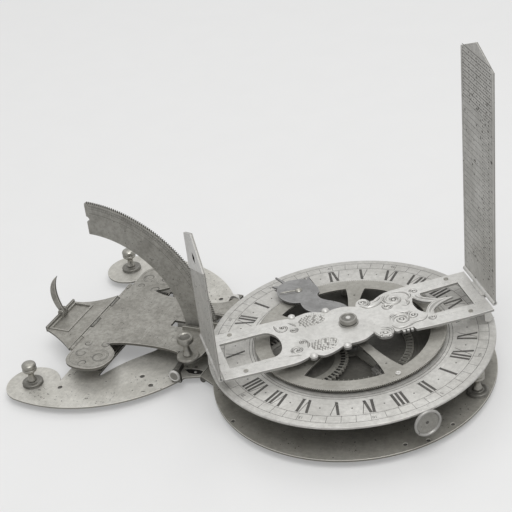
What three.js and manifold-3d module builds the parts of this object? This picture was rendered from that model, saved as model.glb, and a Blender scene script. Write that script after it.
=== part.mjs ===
// A folding universal sundial of brass and steel, opened out for use.
// Millimetres, +Z up. The origin lies on the dial's axis, at the underside of the round base plate.
// +X runs from the dial's centre away from the fold, so the stand lies at minus X.
import * as THREE from 'three';
import { mergeVertices } from 'three/addons/utils/BufferGeometryUtils.js';
import Module from 'manifold-3d';

const wasm = await Module();
wasm.setup();

// Shared fits and facet counts
const fit = 0.3;
const pinFit = 0.1;
const cutOver = 2;
const fineFacets = 64;
const midFacets = 24;
const smallFacets = 12;
const turnedFacets = 16;

// Base plates and the fold between them
const plateRadius = 71;
const plateThickness = 1.2;
const foldMargin = 2;
const foldDrop = 2.2;
const foldBarrelRadius = 1.5;
const foldLeafThickness = 1;
const foldLeafLength = 9;
const foldKnuckleLength = 10;
const foldKnuckleCount = 5;
const pinRadius = 0.5;
const tabHalfWidth = 27;
const tabDepth = 9;
const rivetHoleRadius = 1;

// Stand: two lobes, a cross bar and an open window
const standMargin = 1.2;
const standY = 1;
const lobeRadius = 14.2;
const frontLobeAngle = -100.6;
const backLobeAngle = 105.5;
const barInset = 2;
const barWidth = 17.5;
const barHalfLength = 37;
const barThickness = 1.6;
const windowDepth = 19;
const windowNearHalf = 15;
const windowFarHalf = 36;
const wingHoleRadius = 1.3;

// Levelling screws
const footDrop = 4.1;
const footTipRadius = 2.2;
const screwShaftRadius = 1.7;
const screwBossRadius = 5.2;
const screwBossHeight = 2.2;
const screwKnobRadius = 3.8;
const screwKnobHeight = 10.5;
const rightScrewInset = 6;
const rightScrewY = -3;

// Tilting plate, its hinge and the plate for the plumb line
const tiltTopZ = 11.2;
const tiltThickness = 1.5;
const tiltBarrelRadius = 1;
const tiltKnuckleLength = 9;
const riserLength = 8;
const riserReach = 4;
const riserY = 10;
const stemHalfWidth = 21.7;
const stemLength = 54;
const flareGap = 7;
const flareHalfWidth = 30;
const tongueHalfWidth = 19;
const tongueEndX = -42;
const slotHalfWidth = 2.6;
const slotStart = 42;
const slotEnd = 77.5;
const lobeReach = 13;
const lobeHalfLength = 13.2;
const lobeOuterY = 49;
const plumbPlateLength = 22.4;
const plumbFrontY = -23;
const plumbBackY = 5;
const plumbBackWaistY = 16.6;
const plumbFrontWaistY = -35.4;
const trayDepth = 0.6;
const trayLength = 24;
const trayWidth = 10;
const trayRimHeight = 1.5;
const trayRimThickness = 1.2;
const hornHeight = 23;
const hornBulge = 5.5;
const hornWidth = 3.6;
const hornThickness = 1.5;
const hornY = -8;
const hornHingeRise = 2.1;

// Latitude arc, one tooth to a degree, and its pinion
const arcPitchRadius = 69.3;
const arcInnerRadius = 50.6;
const arcThickness = 1.6;
const arcEndAngle = 88;
const arcTeethPerTurn = 360;
const pinionTeeth = 18;
const pinionAngle = 3.5;
const toothRise = 0.34;
const toothDrop = 0.5;
const meshBacklash = 0.1;
const pinionWidth = 2.2;
const arcFootThickness = 1.4;
const arcFootHalfWidth = 5;
const cheekThickness = 1.6;
const cheekStart = 49;
const cheekFingerRadius = 3;
const cheekHeight = 13.8;
const pinionShaftRadius = 1.2;

// Dial box
const dialTopZ = 20.2;
const ringThickness = 1.2;
const ringInnerRadius = 44;
const underPlateRadius = 58;
const underPlateThickness = 1;
const pillarRadius = 2.2;
const pillarCircle = 51.5;
const pillarCount = 4;
const pillarStart = 25;
const wheelGap = 1.7;
const wheelThickness = 1;
const wheelRadius = 47.4;
const wheelRimInner = 39.6;
const wheelHubRadius = 11;
const wheelTeeth = 120;
const wheelToothDepth = 0.9;
const spokeCount = 5;
const spokeStart = -36.6;
const spokeHubWidth = 4.4;
const spokeRimWidth = 10;
const arborRadius = 3.4;
const collarRadius = 6.5;
const collarThickness = 0.8;
const handGap = 1.3;
const handThickness = 1.1;
const handRingRadius = 8;
const handAngle = 146;
const handReach = 57;
const handNeckHalf = 3.2;
const handPoint = 65;

// Gears under the wheel, and the level shaft of the drive knob
const crownUnderZ = 12.5;
const crownThickness = 1;
const crownHubRadius = 6;
const crownArmHalf = 2;
const crownArmCount = 3;
const crownRadius = 29;
const crownHalfWidth = 2;
const crownTeeth = 72;
const crownToothRise = 0.5;
const crownToothDrop = 0.75;
const crownPitchZ = 14;
const leafCount = 6;
const leafLength = 5.2;
const driveAngle = -41;
const knobRadius = 6.9;
const knobThickness = 1.7;
const knobMargin = 3.3;
const knobShaftRadius = 1.3;
const bearingCircle = 54;
const arborTeeth = 12;
const arborGearRadius = 4.6;
const spurTeeth = 60;
const spurAngle = -132;
const spurThickness = 1.2;
const spurUnderZ = 15.6;
const spurRise = 0.6;
const spurDrop = 0.8;
const spurBacklash = 0.1;
const spurStudRadius = 1.2;
const cockUnderZ = 17.3;
const cockThickness = 1;
const cockHalfWidth = 2.2;
const cockCircle = 54.5;
const cockPostLength = 3;

// Alidade and sight vanes
const alidadeAngle = 40;
const alidadeTopZ = 28.5;
const alidadeThickness = 1.5;
const alidadeHalfLength = 68;
const alidadeHalfWidth = 19.8;
const ballStartAngle = 200;
const ballSweep = 220;
const vaneKnuckleHalf = 6.8;
const vaneThickness = 0.8;
const vaneReach = 1.7;
const vaneRise = 0.9;
const vaneBarrelRadius = 1.3;
const vaneWebRise = 0.45;
const rightVaneLean = 2;
const rightVaneWidth = 37.5;
const rightVaneShift = 1.75;
const rightGableRise = 8;
const rightVaneShoulder = 121;
const leftVaneLean = -1;
const leftVaneWidth = 41;
const leftGableRise = 10;
const leftVaneShoulder = 59;
const leftWindowInner = 34.3;
const leftWindowInset = 4.5;
const rightWindowInner = 33.5;
const rightWindowNeck = 41;
const rightWindowInset = 6.5;
const hornTipX = 54.5;
const windowHalf = 10.9;
const windowShift = -1;
const nutRadius = 4.2;
const nutHeight = 2;
const nutTopRadius = 2.8;
const nutTopHeight = 1.5;
const hookDrop = 7;
const hookWidth = 5;
const hookThickness = 1;
const slitWidth = 1;
const slitLength = 6;
const slitHeight = 56.5;
const slitPlateBackHeight = 39.5;
const slitPlateThickness = 0.5;

// Clamp screw and pivot screws
const clampGap = 6.4;
const clampY = -25.2;
const clampBossRadius = 5.8;
const clampBossHeight = 1.1;
const clampNeckRadius = 2.6;
const clampHeadRadius = 4.3;
const clampHeight = 11;
const pivotShareX = 0.8726;
const pivotShareY = 0.4848;
const pivotZ = 5.6;
const pivotHeadRadius = 3.1;
const pivotHeadThickness = 1.3;
const pivotLugThickness = 2;
const pivotLugHalf = 2.7;

// Levels and centres that follow from the sizes above
const foldX = -(plateRadius + foldMargin);
const standX = 2 * foldX;
const standRadius = plateRadius + standMargin;
const barLeftX = standX + barInset;
const tiltX = barLeftX;
const stemLeftX = foldX - stemLength;
const flareX = foldX - flareGap;
const slotLeftX = tiltX + slotStart;
const slotRightX = tiltX + slotEnd;
const lobeWideX = tiltX + lobeReach;
const plumbPlateEndX = tiltX - plumbPlateLength;
const cheekLeftX = tiltX + cheekStart;
const clampX = foldX - clampGap;
const knobCircle = plateRadius + knobMargin;
const vaneCircle = alidadeHalfLength + vaneReach;
const leftWindowOuter = alidadeHalfLength - leftWindowInset;
const rightWindowOuter = alidadeHalfLength - rightWindowInset;
const rightScrewX = plateRadius - rightScrewInset;
const pivotX = standX + pivotShareX * standRadius;
const pivotY = pivotShareY * standRadius;
const foldZ = -foldDrop;
const barTopZ = plateThickness + barThickness;
const tiltUnderZ = tiltTopZ - tiltThickness;
const tiltZ = tiltTopZ - tiltThickness / 2;
const arcTipRadius = arcPitchRadius + toothRise;
const arcRootRadius = arcPitchRadius - toothDrop;
const pinionPitchRadius = arcPitchRadius * pinionTeeth / arcTeethPerTurn;
const pinionReach = arcPitchRadius + pinionPitchRadius + meshBacklash;
const underPlateTopZ = tiltTopZ + underPlateThickness;
const ringUnderZ = dialTopZ - ringThickness;
const wheelUnderZ = dialTopZ + wheelGap;
const wheelTopZ = wheelUnderZ + wheelThickness;
const handUnderZ = wheelTopZ + handGap;
const crownPitch = 2 * Math.PI * crownRadius / crownTeeth;
const leafPitchRadius = crownRadius * leafCount / crownTeeth;
const knobZ = crownPitchZ + leafPitchRadius + meshBacklash;
const spurRadius = arborGearRadius * spurTeeth / arborTeeth;
const spurCircle = arborGearRadius + spurRadius + spurBacklash;
const alidadeUnderZ = alidadeTopZ - alidadeThickness;
const vaneAxisZ = alidadeTopZ + vaneRise;

const finishes = {
  brass: { color: 0xa8a08c, roughness: 0.42, metalness: 0.95 },
  silvered: { color: 0xd8d8d4, roughness: 0.34, metalness: 0.9 },
  steel: { color: 0x77787a, roughness: 0.38, metalness: 1 },
  darkSteel: { color: 0x3a3b3d, roughness: 0.5, metalness: 0.9 },
};

const part = new THREE.Group();

function radians(degrees) {
  return THREE.MathUtils.degToRad(degrees);
}

// A point at a radius and an angle about a centre
function polar(radius, degrees, centreX = 0, centreY = 0) {
  const angle = radians(degrees);
  return new THREE.Vector2(centreX + radius * Math.cos(angle), centreY + radius * Math.sin(angle));
}

function addPart(name, geometry, finish, parent = part) {
  const material = new THREE.MeshStandardMaterial(finishes[finish]);
  const mesh = new THREE.Mesh(geometry, material);
  mesh.name = name;
  parent.add(mesh);
  return mesh;
}

// Pairs of shares turned into lengths, the second of each pair counted from a start
function scaledPairs(shares, width, height, start = 0) {
  return shares.map(([widthShare, heightShare]) => [
    width * widthShare, start + height * heightShare,
  ]);
}

// Closed mesh to solid and back
function solidOf(geometry) {
  const bare = geometry.clone();
  bare.deleteAttribute('normal');
  bare.deleteAttribute('uv');
  const merged = mergeVertices(bare, 1e-5);
  const vertProperties = new Float32Array(merged.attributes.position.array);
  const triVerts = new Uint32Array(merged.index.array);
  return new wasm.Manifold(new wasm.Mesh({ numProp: 3, vertProperties, triVerts }));
}

function geometryOf(solid) {
  const mesh = solid.getMesh();
  const geometry = new THREE.BufferGeometry();
  geometry.setAttribute('position', new THREE.BufferAttribute(new Float32Array(mesh.vertProperties), 3));
  geometry.setIndex(new THREE.BufferAttribute(new Uint32Array(mesh.triVerts), 1));
  geometry.computeVertexNormals();
  return geometry;
}

function joined(first, ...others) {
  return geometryOf(others.reduce((sum, other) => sum.add(solidOf(other)), solidOf(first)));
}

function cut(body, ...cutters) {
  return geometryOf(cutters.reduce((rest, cutter) => rest.subtract(solidOf(cutter)), solidOf(body)));
}

function common(first, second) {
  return geometryOf(solidOf(first).intersect(solidOf(second)));
}

// A flat piece of an outline, standing from one level to another
function sheet(shape, fromZ, toZ, curveSegments = midFacets) {
  const settings = { depth: toZ - fromZ, bevelEnabled: false, curveSegments };
  return new THREE.ExtrudeGeometry(shape, settings).translate(0, 0, fromZ);
}

function outline(points) {
  return new THREE.Shape(points.map((point) => new THREE.Vector2(point[0], point[1])));
}

function ringPoints(radius, count, centreX = 0, centreY = 0) {
  return Array.from({ length: count }, (_, index) => polar(radius, 360 * index / count, centreX, centreY));
}

function disc(radius, fromZ, toZ, facets, centreX = 0, centreY = 0) {
  return sheet(new THREE.Shape(ringPoints(radius, facets, centreX, centreY)), fromZ, toZ);
}

function annulus(outer, inner, fromZ, toZ, facets) {
  const shape = new THREE.Shape(ringPoints(outer, facets));
  shape.holes.push(new THREE.Path(ringPoints(inner, facets)));
  return sheet(shape, fromZ, toZ);
}

function block(fromX, toX, fromY, toY, fromZ, toZ) {
  const box = new THREE.BoxGeometry(toX - fromX, toY - fromY, toZ - fromZ);
  return box.translate((fromX + toX) / 2, (fromY + toY) / 2, (fromZ + toZ) / 2);
}

// A round bar along Y
function rodY(radius, fromY, toY, x, z, facets = smallFacets) {
  const rod = new THREE.CylinderGeometry(radius, radius, toY - fromY, facets);
  return rod.translate(x, (fromY + toY) / 2, z);
}

// A turned piece standing on a level, from pairs of radius and height
function turned(pairs, x, y, fromZ, facets = turnedFacets) {
  const points = pairs.map((pair) => new THREE.Vector2(pair[0], pair[1]));
  const lathe = new THREE.LatheGeometry(points, facets).rotateX(Math.PI / 2);
  return lathe.translate(x, y, fromZ);
}

// A profile drawn in X and Z, with its thickness along Y
function uprightSheet(points, fromY, toY) {
  const shape = outline(points);
  const settings = { depth: toY - fromY, bevelEnabled: false, curveSegments: smallFacets };
  return new THREE.ExtrudeGeometry(shape, settings).rotateX(Math.PI / 2).translate(0, toY, 0);
}

// Points of a toothed edge between two angles, four to a tooth
function toothedEdge(tip, root, teethPerTurn, firstTooth, lastTooth, phase = 0) {
  const pitch = 360 / teethPerTurn;
  const toothShares = [[-0.34, root], [-0.14, tip], [0.14, tip], [0.34, root]];
  const points = [];
  for (let tooth = firstTooth; tooth <= lastTooth; tooth += 1) {
    for (const [share, radius] of toothShares) {
      points.push(polar(radius, (tooth + share) * pitch + phase));
    }
  }
  return points;
}

// Round base plate with its hinge tab and small rivet holes
function makeBasePlate() {
  const tabShape = outline([
    [foldX + fit / 2, -tabHalfWidth],
    [foldX + tabDepth, -tabHalfWidth - tabDepth / 2],
    [foldX + tabDepth, tabHalfWidth + tabDepth / 2],
    [foldX + fit / 2, tabHalfWidth],
  ]);
  const round = disc(plateRadius, 0, plateThickness, fineFacets);
  const plate = joined(round, sheet(tabShape, 0, plateThickness));
  const holeShares = [[0.86, -0.41], [0.63, -0.69], [0.76, -0.61], [-0.575, -0.78], [0.2, 0.9]];
  const holes = holeShares.map(([shareX, shareY]) => disc(
    rivetHoleRadius, -cutOver, plateThickness + cutOver, smallFacets,
    shareX * plateRadius, shareY * plateRadius,
  ));
  const screwHole = disc(
    screwShaftRadius + fit, -cutOver, plateThickness + cutOver, smallFacets, rightScrewX, rightScrewY,
  );
  const stop = block(foldX - cutOver, foldX + fit / 2, -plateRadius, plateRadius, -cutOver, cutOver);
  addPart('base_plate', cut(plate, ...holes, screwHole, stop), 'brass');
}

function lobeCentre(side) {
  return polar(standRadius - lobeRadius, side < 0 ? frontLobeAngle : backLobeAngle, standX, standY);
}

// Horseshoe stand plate: half of a round plate with a lobe at each end of its open side
function makeStandPlate() {
  const round = disc(standRadius, 0, plateThickness, fineFacets, standX, standY);
  const keep = joined(
    block(barLeftX, foldX, -plateRadius * 2, plateRadius * 2, -cutOver, plateThickness + cutOver),
    ...[-1, 1].map((side) => {
      const centre = lobeCentre(side);
      return block(
        centre.x, barLeftX + fit, Math.min(centre.y, centre.y * 2), Math.max(centre.y, centre.y * 2),
        -cutOver, plateThickness + cutOver,
      );
    }),
  );
  const tab = block(foldX - tabDepth, foldX - fit / 2, -tabHalfWidth, tabHalfWidth, 0, plateThickness);
  const lobes = [-1, 1].map((side) => {
    const centre = lobeCentre(side);
    return disc(lobeRadius, 0, plateThickness, midFacets, centre.x, centre.y);
  });
  const plate = joined(common(round, keep), tab, ...lobes);
  const windowLeft = barLeftX + barWidth;
  const windowRight = windowLeft + windowDepth;
  const opening = new THREE.Shape();
  opening.moveTo(windowLeft, -windowFarHalf);
  opening.quadraticCurveTo(windowRight, -windowFarHalf, windowRight, -windowNearHalf);
  opening.lineTo(windowRight, windowNearHalf);
  opening.quadraticCurveTo(windowRight, windowFarHalf, windowLeft, windowFarHalf);
  const window = sheet(opening, -cutOver, plateThickness + cutOver, smallFacets);
  const screwHoles = [-1, 1].map((side) => {
    const centre = lobeCentre(side);
    return disc(screwShaftRadius + fit, -cutOver, plateThickness + cutOver, smallFacets, centre.x, centre.y);
  });
  const wingHoleShares = [[0.072, 0.773], [0.606, 0.493], [0.72, 0.572]];
  const wingHoles = [-1, 1].flatMap((side) => wingHoleShares.map(([shareX, shareY]) => disc(
    wingHoleRadius, -cutOver, plateThickness + cutOver, smallFacets,
    standX + shareX * plateRadius, side * shareY * plateRadius,
  )));
  addPart('stand_plate', cut(plate, window, ...screwHoles, ...wingHoles), 'brass');
}

// Fold hinge under the plates: knuckles of the two plates in turn, on one pin
function makeFoldHinge() {
  const pitch = foldKnuckleLength + fit;
  const start = -pitch * foldKnuckleCount / 2;
  const bore = rodY(pinRadius + pinFit, start - cutOver, -start + cutOver, foldX, foldZ);
  for (let index = 0; index < foldKnuckleCount; index += 1) {
    const onStand = index % 2 === 0;
    const fromY = start + index * pitch;
    const toY = fromY + foldKnuckleLength;
    const barrel = rodY(foldBarrelRadius, fromY, toY, foldX, foldZ);
    const leafEnd = foldX + (onStand ? -foldLeafLength : foldLeafLength);
    const left = Math.min(foldX, leafEnd);
    const leaf = block(left, left + foldLeafLength, fromY, toY, -foldLeafThickness, 0);
    const neck = Math.sign(leafEnd - foldX) * foldBarrelRadius;
    const web = block(
      Math.min(foldX, foldX + neck), Math.max(foldX, foldX + neck), fromY, toY, foldZ, -foldLeafThickness / 2,
    );
    const name = `${onStand ? 'stand' : 'base'}_knuckle_${index + 1}`;
    addPart(name, cut(joined(barrel, leaf, web), bore), 'brass');
  }
  addPart('fold_pin', rodY(pinRadius, start, -start, foldX, foldZ), 'steel');
}

// Boss on a plate that a levelling screw turns in
function makeScrewBoss(name, x, y) {
  const bossShares = [[1, 0], [1, 0.4], [0.72, 0.6], [0.72, 1]];
  const boss = turned([
    [screwShaftRadius + fit, 0],
    ...scaledPairs(bossShares, screwBossRadius, screwBossHeight),
    [screwShaftRadius + fit, screwBossHeight],
    [screwShaftRadius + fit, 0],
  ], x, y, plateThickness);
  addPart(name, boss, 'brass');
}

// Levelling screw: flat tip, shaft, neck and round knob in one turned piece
function makeLevellingScrew(name, x, y) {
  const seat = plateThickness + screwBossHeight + fit;
  const top = seat + screwKnobHeight;
  const knob = screwKnobRadius;
  const tipShares = [[0.8, 1], [1, 0.8], [1, 0.35]];
  const shaftStartShare = 0.25;
  const neckShare = 0.7;
  const topShare = 0.3;
  const headShares = [
    [0.62, 0], [0.62, 0.1], [0.36, 0.2], [0.3, 0.42], [0.8, 0.5], [1, 0.62], [1, 0.72], [0.72, 0.9],
  ];
  const screw = turned([
    [0, -footDrop],
    ...scaledPairs(tipShares, footTipRadius, -footDrop),
    [screwShaftRadius, -footDrop * shaftStartShare],
    [screwShaftRadius, seat],
    ...headShares.map(([radiusShare, heightShare]) => [
      Math.max(radiusShare * knob, screwShaftRadius * neckShare), seat + heightShare * (top - seat),
    ]),
    [knob * topShare, top],
    [0, top],
  ], x, y, 0);
  addPart(name, screw, 'brass');
}

function makeCrossBar() {
  const bar = block(barLeftX, barLeftX + barWidth, -barHalfLength, barHalfLength, plateThickness, barTopZ);
  addPart('cross_bar', bar, 'brass');
}

// Risers that carry the plumb plate and the fixed knuckles of the tilt hinge
function makeRisers() {
  for (const [name, side] of [['riser_front', -1], ['riser_back', 1]]) {
    const fromY = side * riserY - riserLength / 2;
    const toY = side * riserY + riserLength / 2;
    const gap = tiltBarrelRadius + fit;
    const web = uprightSheet([
      [barLeftX, barTopZ],
      [barLeftX + 3 * gap, barTopZ],
      [tiltX + gap, tiltUnderZ - fit - gap],
      [tiltX + gap / 2, tiltZ],
      [tiltX - gap / 2, tiltZ],
      [tiltX - gap, tiltUnderZ],
      [tiltX - riserReach, tiltUnderZ],
      [tiltX - riserReach, tiltUnderZ - gap],
    ], fromY, toY);
    const barrel = rodY(tiltBarrelRadius, fromY, toY, tiltX, tiltZ);
    const bore = rodY(pinRadius + pinFit, fromY - cutOver, toY + cutOver, tiltX, tiltZ);
    addPart(name, cut(joined(web, barrel), bore), 'brass');
  }
}

// Plate at the stand's open side, with a shallow tray and a raised edge
function makePlumbPlate() {
  const hingeX = tiltX - tiltBarrelRadius - fit;
  const plateShape = new THREE.Shape();
  plateShape.moveTo(hingeX, plumbFrontWaistY);
  plateShape.lineTo(hingeX, plumbBackWaistY);
  plateShape.quadraticCurveTo((hingeX + plumbPlateEndX) / 2, plumbBackY, plumbPlateEndX, plumbBackY);
  plateShape.lineTo(plumbPlateEndX, plumbFrontY);
  plateShape.quadraticCurveTo(
    (hingeX + plumbPlateEndX) / 2, plumbFrontY - tiltThickness * 3, hingeX, plumbFrontWaistY,
  );
  const plate = sheet(plateShape, tiltUnderZ, tiltTopZ, smallFacets);
  const trayX = plumbPlateEndX + trayRimThickness + fit;
  const trayY = (plumbFrontY + plumbBackY) / 2;
  const tray = block(
    trayX, trayX + trayWidth, trayY - trayLength / 2, trayY + trayLength / 2,
    tiltTopZ - trayDepth, tiltTopZ + cutOver,
  );
  addPart('plumb_plate', cut(plate, tray), 'brass');
  const rimX = plumbPlateEndX - trayRimThickness;
  const earHalf = hornThickness / 2 + fit + trayRimThickness;
  const rim = block(rimX, plumbPlateEndX, plumbFrontY, plumbBackY, tiltUnderZ, tiltTopZ + trayRimHeight);
  const ears = [-1, 1].map((side) => {
    const inner = hornY + side * (hornThickness / 2 + fit);
    const outer = hornY + side * earHalf;
    return block(
      rimX, plumbPlateEndX + hornHingeRise, Math.min(inner, outer), Math.max(inner, outer),
      tiltTopZ + fit, tiltTopZ + hornHingeRise * 2,
    );
  });
  const hornX = plumbPlateEndX + hornHingeRise / 2;
  const slot = block(
    rimX - cutOver, plumbPlateEndX + cutOver,
    hornY - hornThickness / 2 - fit, hornY + hornThickness / 2 + fit,
    tiltTopZ - trayDepth, tiltTopZ + hornHeight,
  );
  const bore = rodY(
    pinRadius + pinFit, hornY - earHalf - cutOver, hornY + earHalf + cutOver, hornX, tiltTopZ + hornHingeRise,
  );
  addPart('plumb_rim', cut(joined(rim, ...ears), slot, bore), 'brass');
  const pin = rodY(pinRadius, hornY - earHalf, hornY + earHalf, hornX, tiltTopZ + hornHingeRise);
  addPart('horn_pin', pin, 'steel');
}

// Curved horn that the plumb line hangs from, standing on its pin
function makePlumbHorn() {
  const hingeX = plumbPlateEndX + hornHingeRise / 2;
  const hingeZ = tiltTopZ + hornHingeRise;
  const half = hornWidth / 2;
  const footShares = [0.2, 0.3];
  const outerShares = [[1.3, 0.3], [1.2, 0.75]];
  const innerShares = [[0.5, 0.7], [0.45, 0.35]];
  const tipShare = 0.35;
  const shape = new THREE.Shape();
  shape.moveTo(half, -half * footShares[1]);
  shape.quadraticCurveTo(half * footShares[0], -half, -half, -half * footShares[1]);
  shape.bezierCurveTo(
    ...scaledPairs(outerShares, -hornBulge, hornHeight).flat(), hornWidth * tipShare, hornHeight,
  );
  shape.bezierCurveTo(
    ...scaledPairs(innerShares, -hornBulge, hornHeight).flat(), half, -half * footShares[1],
  );
  const settings = { depth: hornThickness, bevelEnabled: false, curveSegments: smallFacets };
  const horn = new THREE.ExtrudeGeometry(shape, settings).rotateX(Math.PI / 2);
  horn.translate(hingeX, hornY + hornThickness / 2, hingeZ);
  const eye = rodY(hornWidth / 2, hornY - hornThickness / 2, hornY + hornThickness / 2, hingeX, hingeZ);
  const bore = rodY(pinRadius + pinFit, hornY - hornWidth, hornY + hornWidth, hingeX, hingeZ);
  addPart('plumb_horn', cut(joined(horn, eye), bore), 'brass');
}

// Latitude arc, upright over the middle of the stand, with a foot flange
function makeLatitudeArc() {
  const footTopZ = plateThickness + arcFootThickness;
  const drop = tiltZ - footTopZ;
  const innerStart = -THREE.MathUtils.radToDeg(Math.asin(drop / arcInnerRadius));
  const firstTooth = Math.ceil(-THREE.MathUtils.radToDeg(Math.asin(drop / arcTipRadius)));
  const points = [new THREE.Vector2(Math.sqrt(arcRootRadius ** 2 - drop ** 2), -drop)];
  points.push(...toothedEdge(arcTipRadius, arcRootRadius, arcTeethPerTurn, firstTooth, arcEndAngle - 1));
  const middleRadius = (arcRootRadius + arcInnerRadius) / 2;
  const notch = arcThickness;
  points.push(polar(arcRootRadius, arcEndAngle));
  points.push(polar(middleRadius + notch, arcEndAngle));
  points.push(polar(middleRadius, arcEndAngle - notch));
  points.push(polar(middleRadius - notch, arcEndAngle));
  const innerSteps = midFacets;
  for (let step = 0; step <= innerSteps; step += 1) {
    points.push(polar(arcInnerRadius, arcEndAngle + (innerStart - arcEndAngle) * step / innerSteps));
  }
  const settings = { depth: arcThickness, bevelEnabled: false };
  const arc = new THREE.ExtrudeGeometry(new THREE.Shape(points), settings).rotateX(Math.PI / 2);
  arc.translate(tiltX, arcThickness / 2, tiltZ);
  addPart('latitude_arc', arc, 'brass');
  const footLeft = tiltX + arcInnerRadius;
  const footRight = tiltX + Math.sqrt(arcRootRadius ** 2 - drop ** 2);
  const foot = block(footLeft, footRight, -arcFootHalfWidth, arcFootHalfWidth, plateThickness, footTopZ);
  addPart('arc_foot', foot, 'brass');
}

function lobeShape(side) {
  const lobe = new THREE.Shape();
  const neck = side * stemHalfWidth;
  const outer = side * lobeOuterY;
  const left = lobeWideX - lobeHalfLength;
  const right = lobeWideX + lobeHalfLength;
  const hingeX = tiltX + tiltBarrelRadius + fit;
  const midY = (neck + outer) / 2 + side * tiltThickness;
  const neckShares = [1.2, 1.4];
  lobe.moveTo(stemLeftX + lobeHalfLength / 2, 0);
  lobe.lineTo(stemLeftX, neck * neckShares[0]);
  lobe.quadraticCurveTo(right, midY - side * tiltThickness * 4, right, midY);
  lobe.quadraticCurveTo(right, outer, lobeWideX, outer);
  lobe.quadraticCurveTo(left, outer, left + tiltThickness, midY);
  lobe.lineTo(hingeX, neck * neckShares[1]);
  lobe.lineTo(hingeX, 0);
  return lobe;
}

// Tilting plate: lobed cross arm, stem and the tongue that carries the dial box
function makeTiltPlate() {
  const hingeX = tiltX + tiltBarrelRadius + fit;
  const stem = new THREE.Shape();
  stem.moveTo(hingeX, -stemHalfWidth);
  stem.lineTo(flareX - stemHalfWidth, -stemHalfWidth);
  stem.quadraticCurveTo(flareX - fit, -stemHalfWidth, flareX, -flareHalfWidth);
  stem.quadraticCurveTo(foldX, -flareHalfWidth, foldX + fit, -tongueHalfWidth);
  stem.lineTo(tongueEndX, -tongueHalfWidth);
  stem.lineTo(tongueEndX, tongueHalfWidth);
  stem.lineTo(foldX + fit, tongueHalfWidth);
  stem.quadraticCurveTo(foldX, flareHalfWidth, flareX, flareHalfWidth);
  stem.quadraticCurveTo(flareX - fit, stemHalfWidth, flareX - stemHalfWidth, stemHalfWidth);
  stem.lineTo(hingeX, stemHalfWidth);
  let body = sheet(stem, tiltUnderZ, tiltTopZ, smallFacets);
  for (const side of [-1, 1]) {
    body = joined(body, sheet(lobeShape(side), tiltUnderZ, tiltTopZ, smallFacets));
  }
  const slot = block(
    slotLeftX, slotRightX, -slotHalfWidth, slotHalfWidth, tiltUnderZ - cutOver, tiltTopZ + cutOver,
  );
  const knuckleBars = [];
  for (const centreY of [-riserY - tiltKnuckleLength - fit, 0, riserY + tiltKnuckleLength + fit]) {
    const half = centreY === 0 ? riserY - riserLength / 2 - fit : tiltKnuckleLength / 2;
    knuckleBars.push(rodY(tiltBarrelRadius, centreY - half, centreY + half, tiltX, tiltZ));
    knuckleBars.push(block(tiltX, hingeX + fit, centreY - half, centreY + half, tiltUnderZ + fit, tiltTopZ));
  }
  const reach = riserY + 2 * tiltKnuckleLength;
  const bore = rodY(pinRadius + pinFit, -reach, reach, tiltX, tiltZ);
  addPart('tilt_plate', cut(joined(body, ...knuckleBars), slot, bore), 'brass');
  const pinHalf = riserY + tiltKnuckleLength + tiltKnuckleLength / 2 + fit;
  addPart('tilt_pin', rodY(pinRadius, -pinHalf, pinHalf, tiltX, tiltZ), 'steel');
}

function pinionCentre() {
  const centre = polar(pinionReach, pinionAngle);
  return new THREE.Vector2(tiltX + centre.x, tiltZ + centre.y);
}

// Steel cheeks on both sides of the slot, which carry the pinion
function makeArcCheeks() {
  const centre = pinionCentre();
  const right = centre.x + pinionPitchRadius;
  const fingerX = cheekLeftX + cheekFingerRadius;
  const fingerZ = tiltTopZ + cheekHeight - cheekFingerRadius;
  const lowTop = ringUnderZ - fit;
  const points = [[cheekLeftX, tiltTopZ]];
  for (let step = 0; step <= smallFacets; step += 1) {
    const corner = polar(cheekFingerRadius, 180 - 180 * step / smallFacets, fingerX, fingerZ);
    points.push([corner.x, corner.y]);
  }
  points.push([fingerX + cheekFingerRadius, lowTop]);
  points.push([right, lowTop]);
  points.push([right, tiltTopZ]);
  for (const [name, side] of [['cheek_front', -1], ['cheek_back', 1]]) {
    const inner = side * (slotHalfWidth + fit);
    const outer = inner + side * cheekThickness;
    const cheek = uprightSheet(points, Math.min(inner, outer), Math.max(inner, outer));
    const bore = rodY(
      pinionShaftRadius + pinFit, Math.min(inner, outer) - cutOver, Math.max(inner, outer) + cutOver,
      centre.x, centre.y,
    );
    addPart(name, cut(cheek, bore), 'darkSteel');
  }
}

// Pinion with a tooth turned towards the arc's gap
function makePinion() {
  const centre = pinionCentre();
  const tip = pinionPitchRadius + toothRise;
  const root = pinionPitchRadius - toothDrop;
  const edge = toothedEdge(tip, root, pinionTeeth, 0, pinionTeeth - 1, 180 + pinionAngle);
  const settings = { depth: pinionWidth, bevelEnabled: false };
  const gear = new THREE.ExtrudeGeometry(new THREE.Shape(edge), settings).rotateX(Math.PI / 2);
  gear.translate(centre.x, pinionWidth / 2, centre.y);
  const reach = slotHalfWidth + fit + cheekThickness + fit;
  const shaft = rodY(pinionShaftRadius, -reach, reach, centre.x, centre.y);
  addPart('pinion', joined(gear, shaft), 'steel');
}

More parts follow.
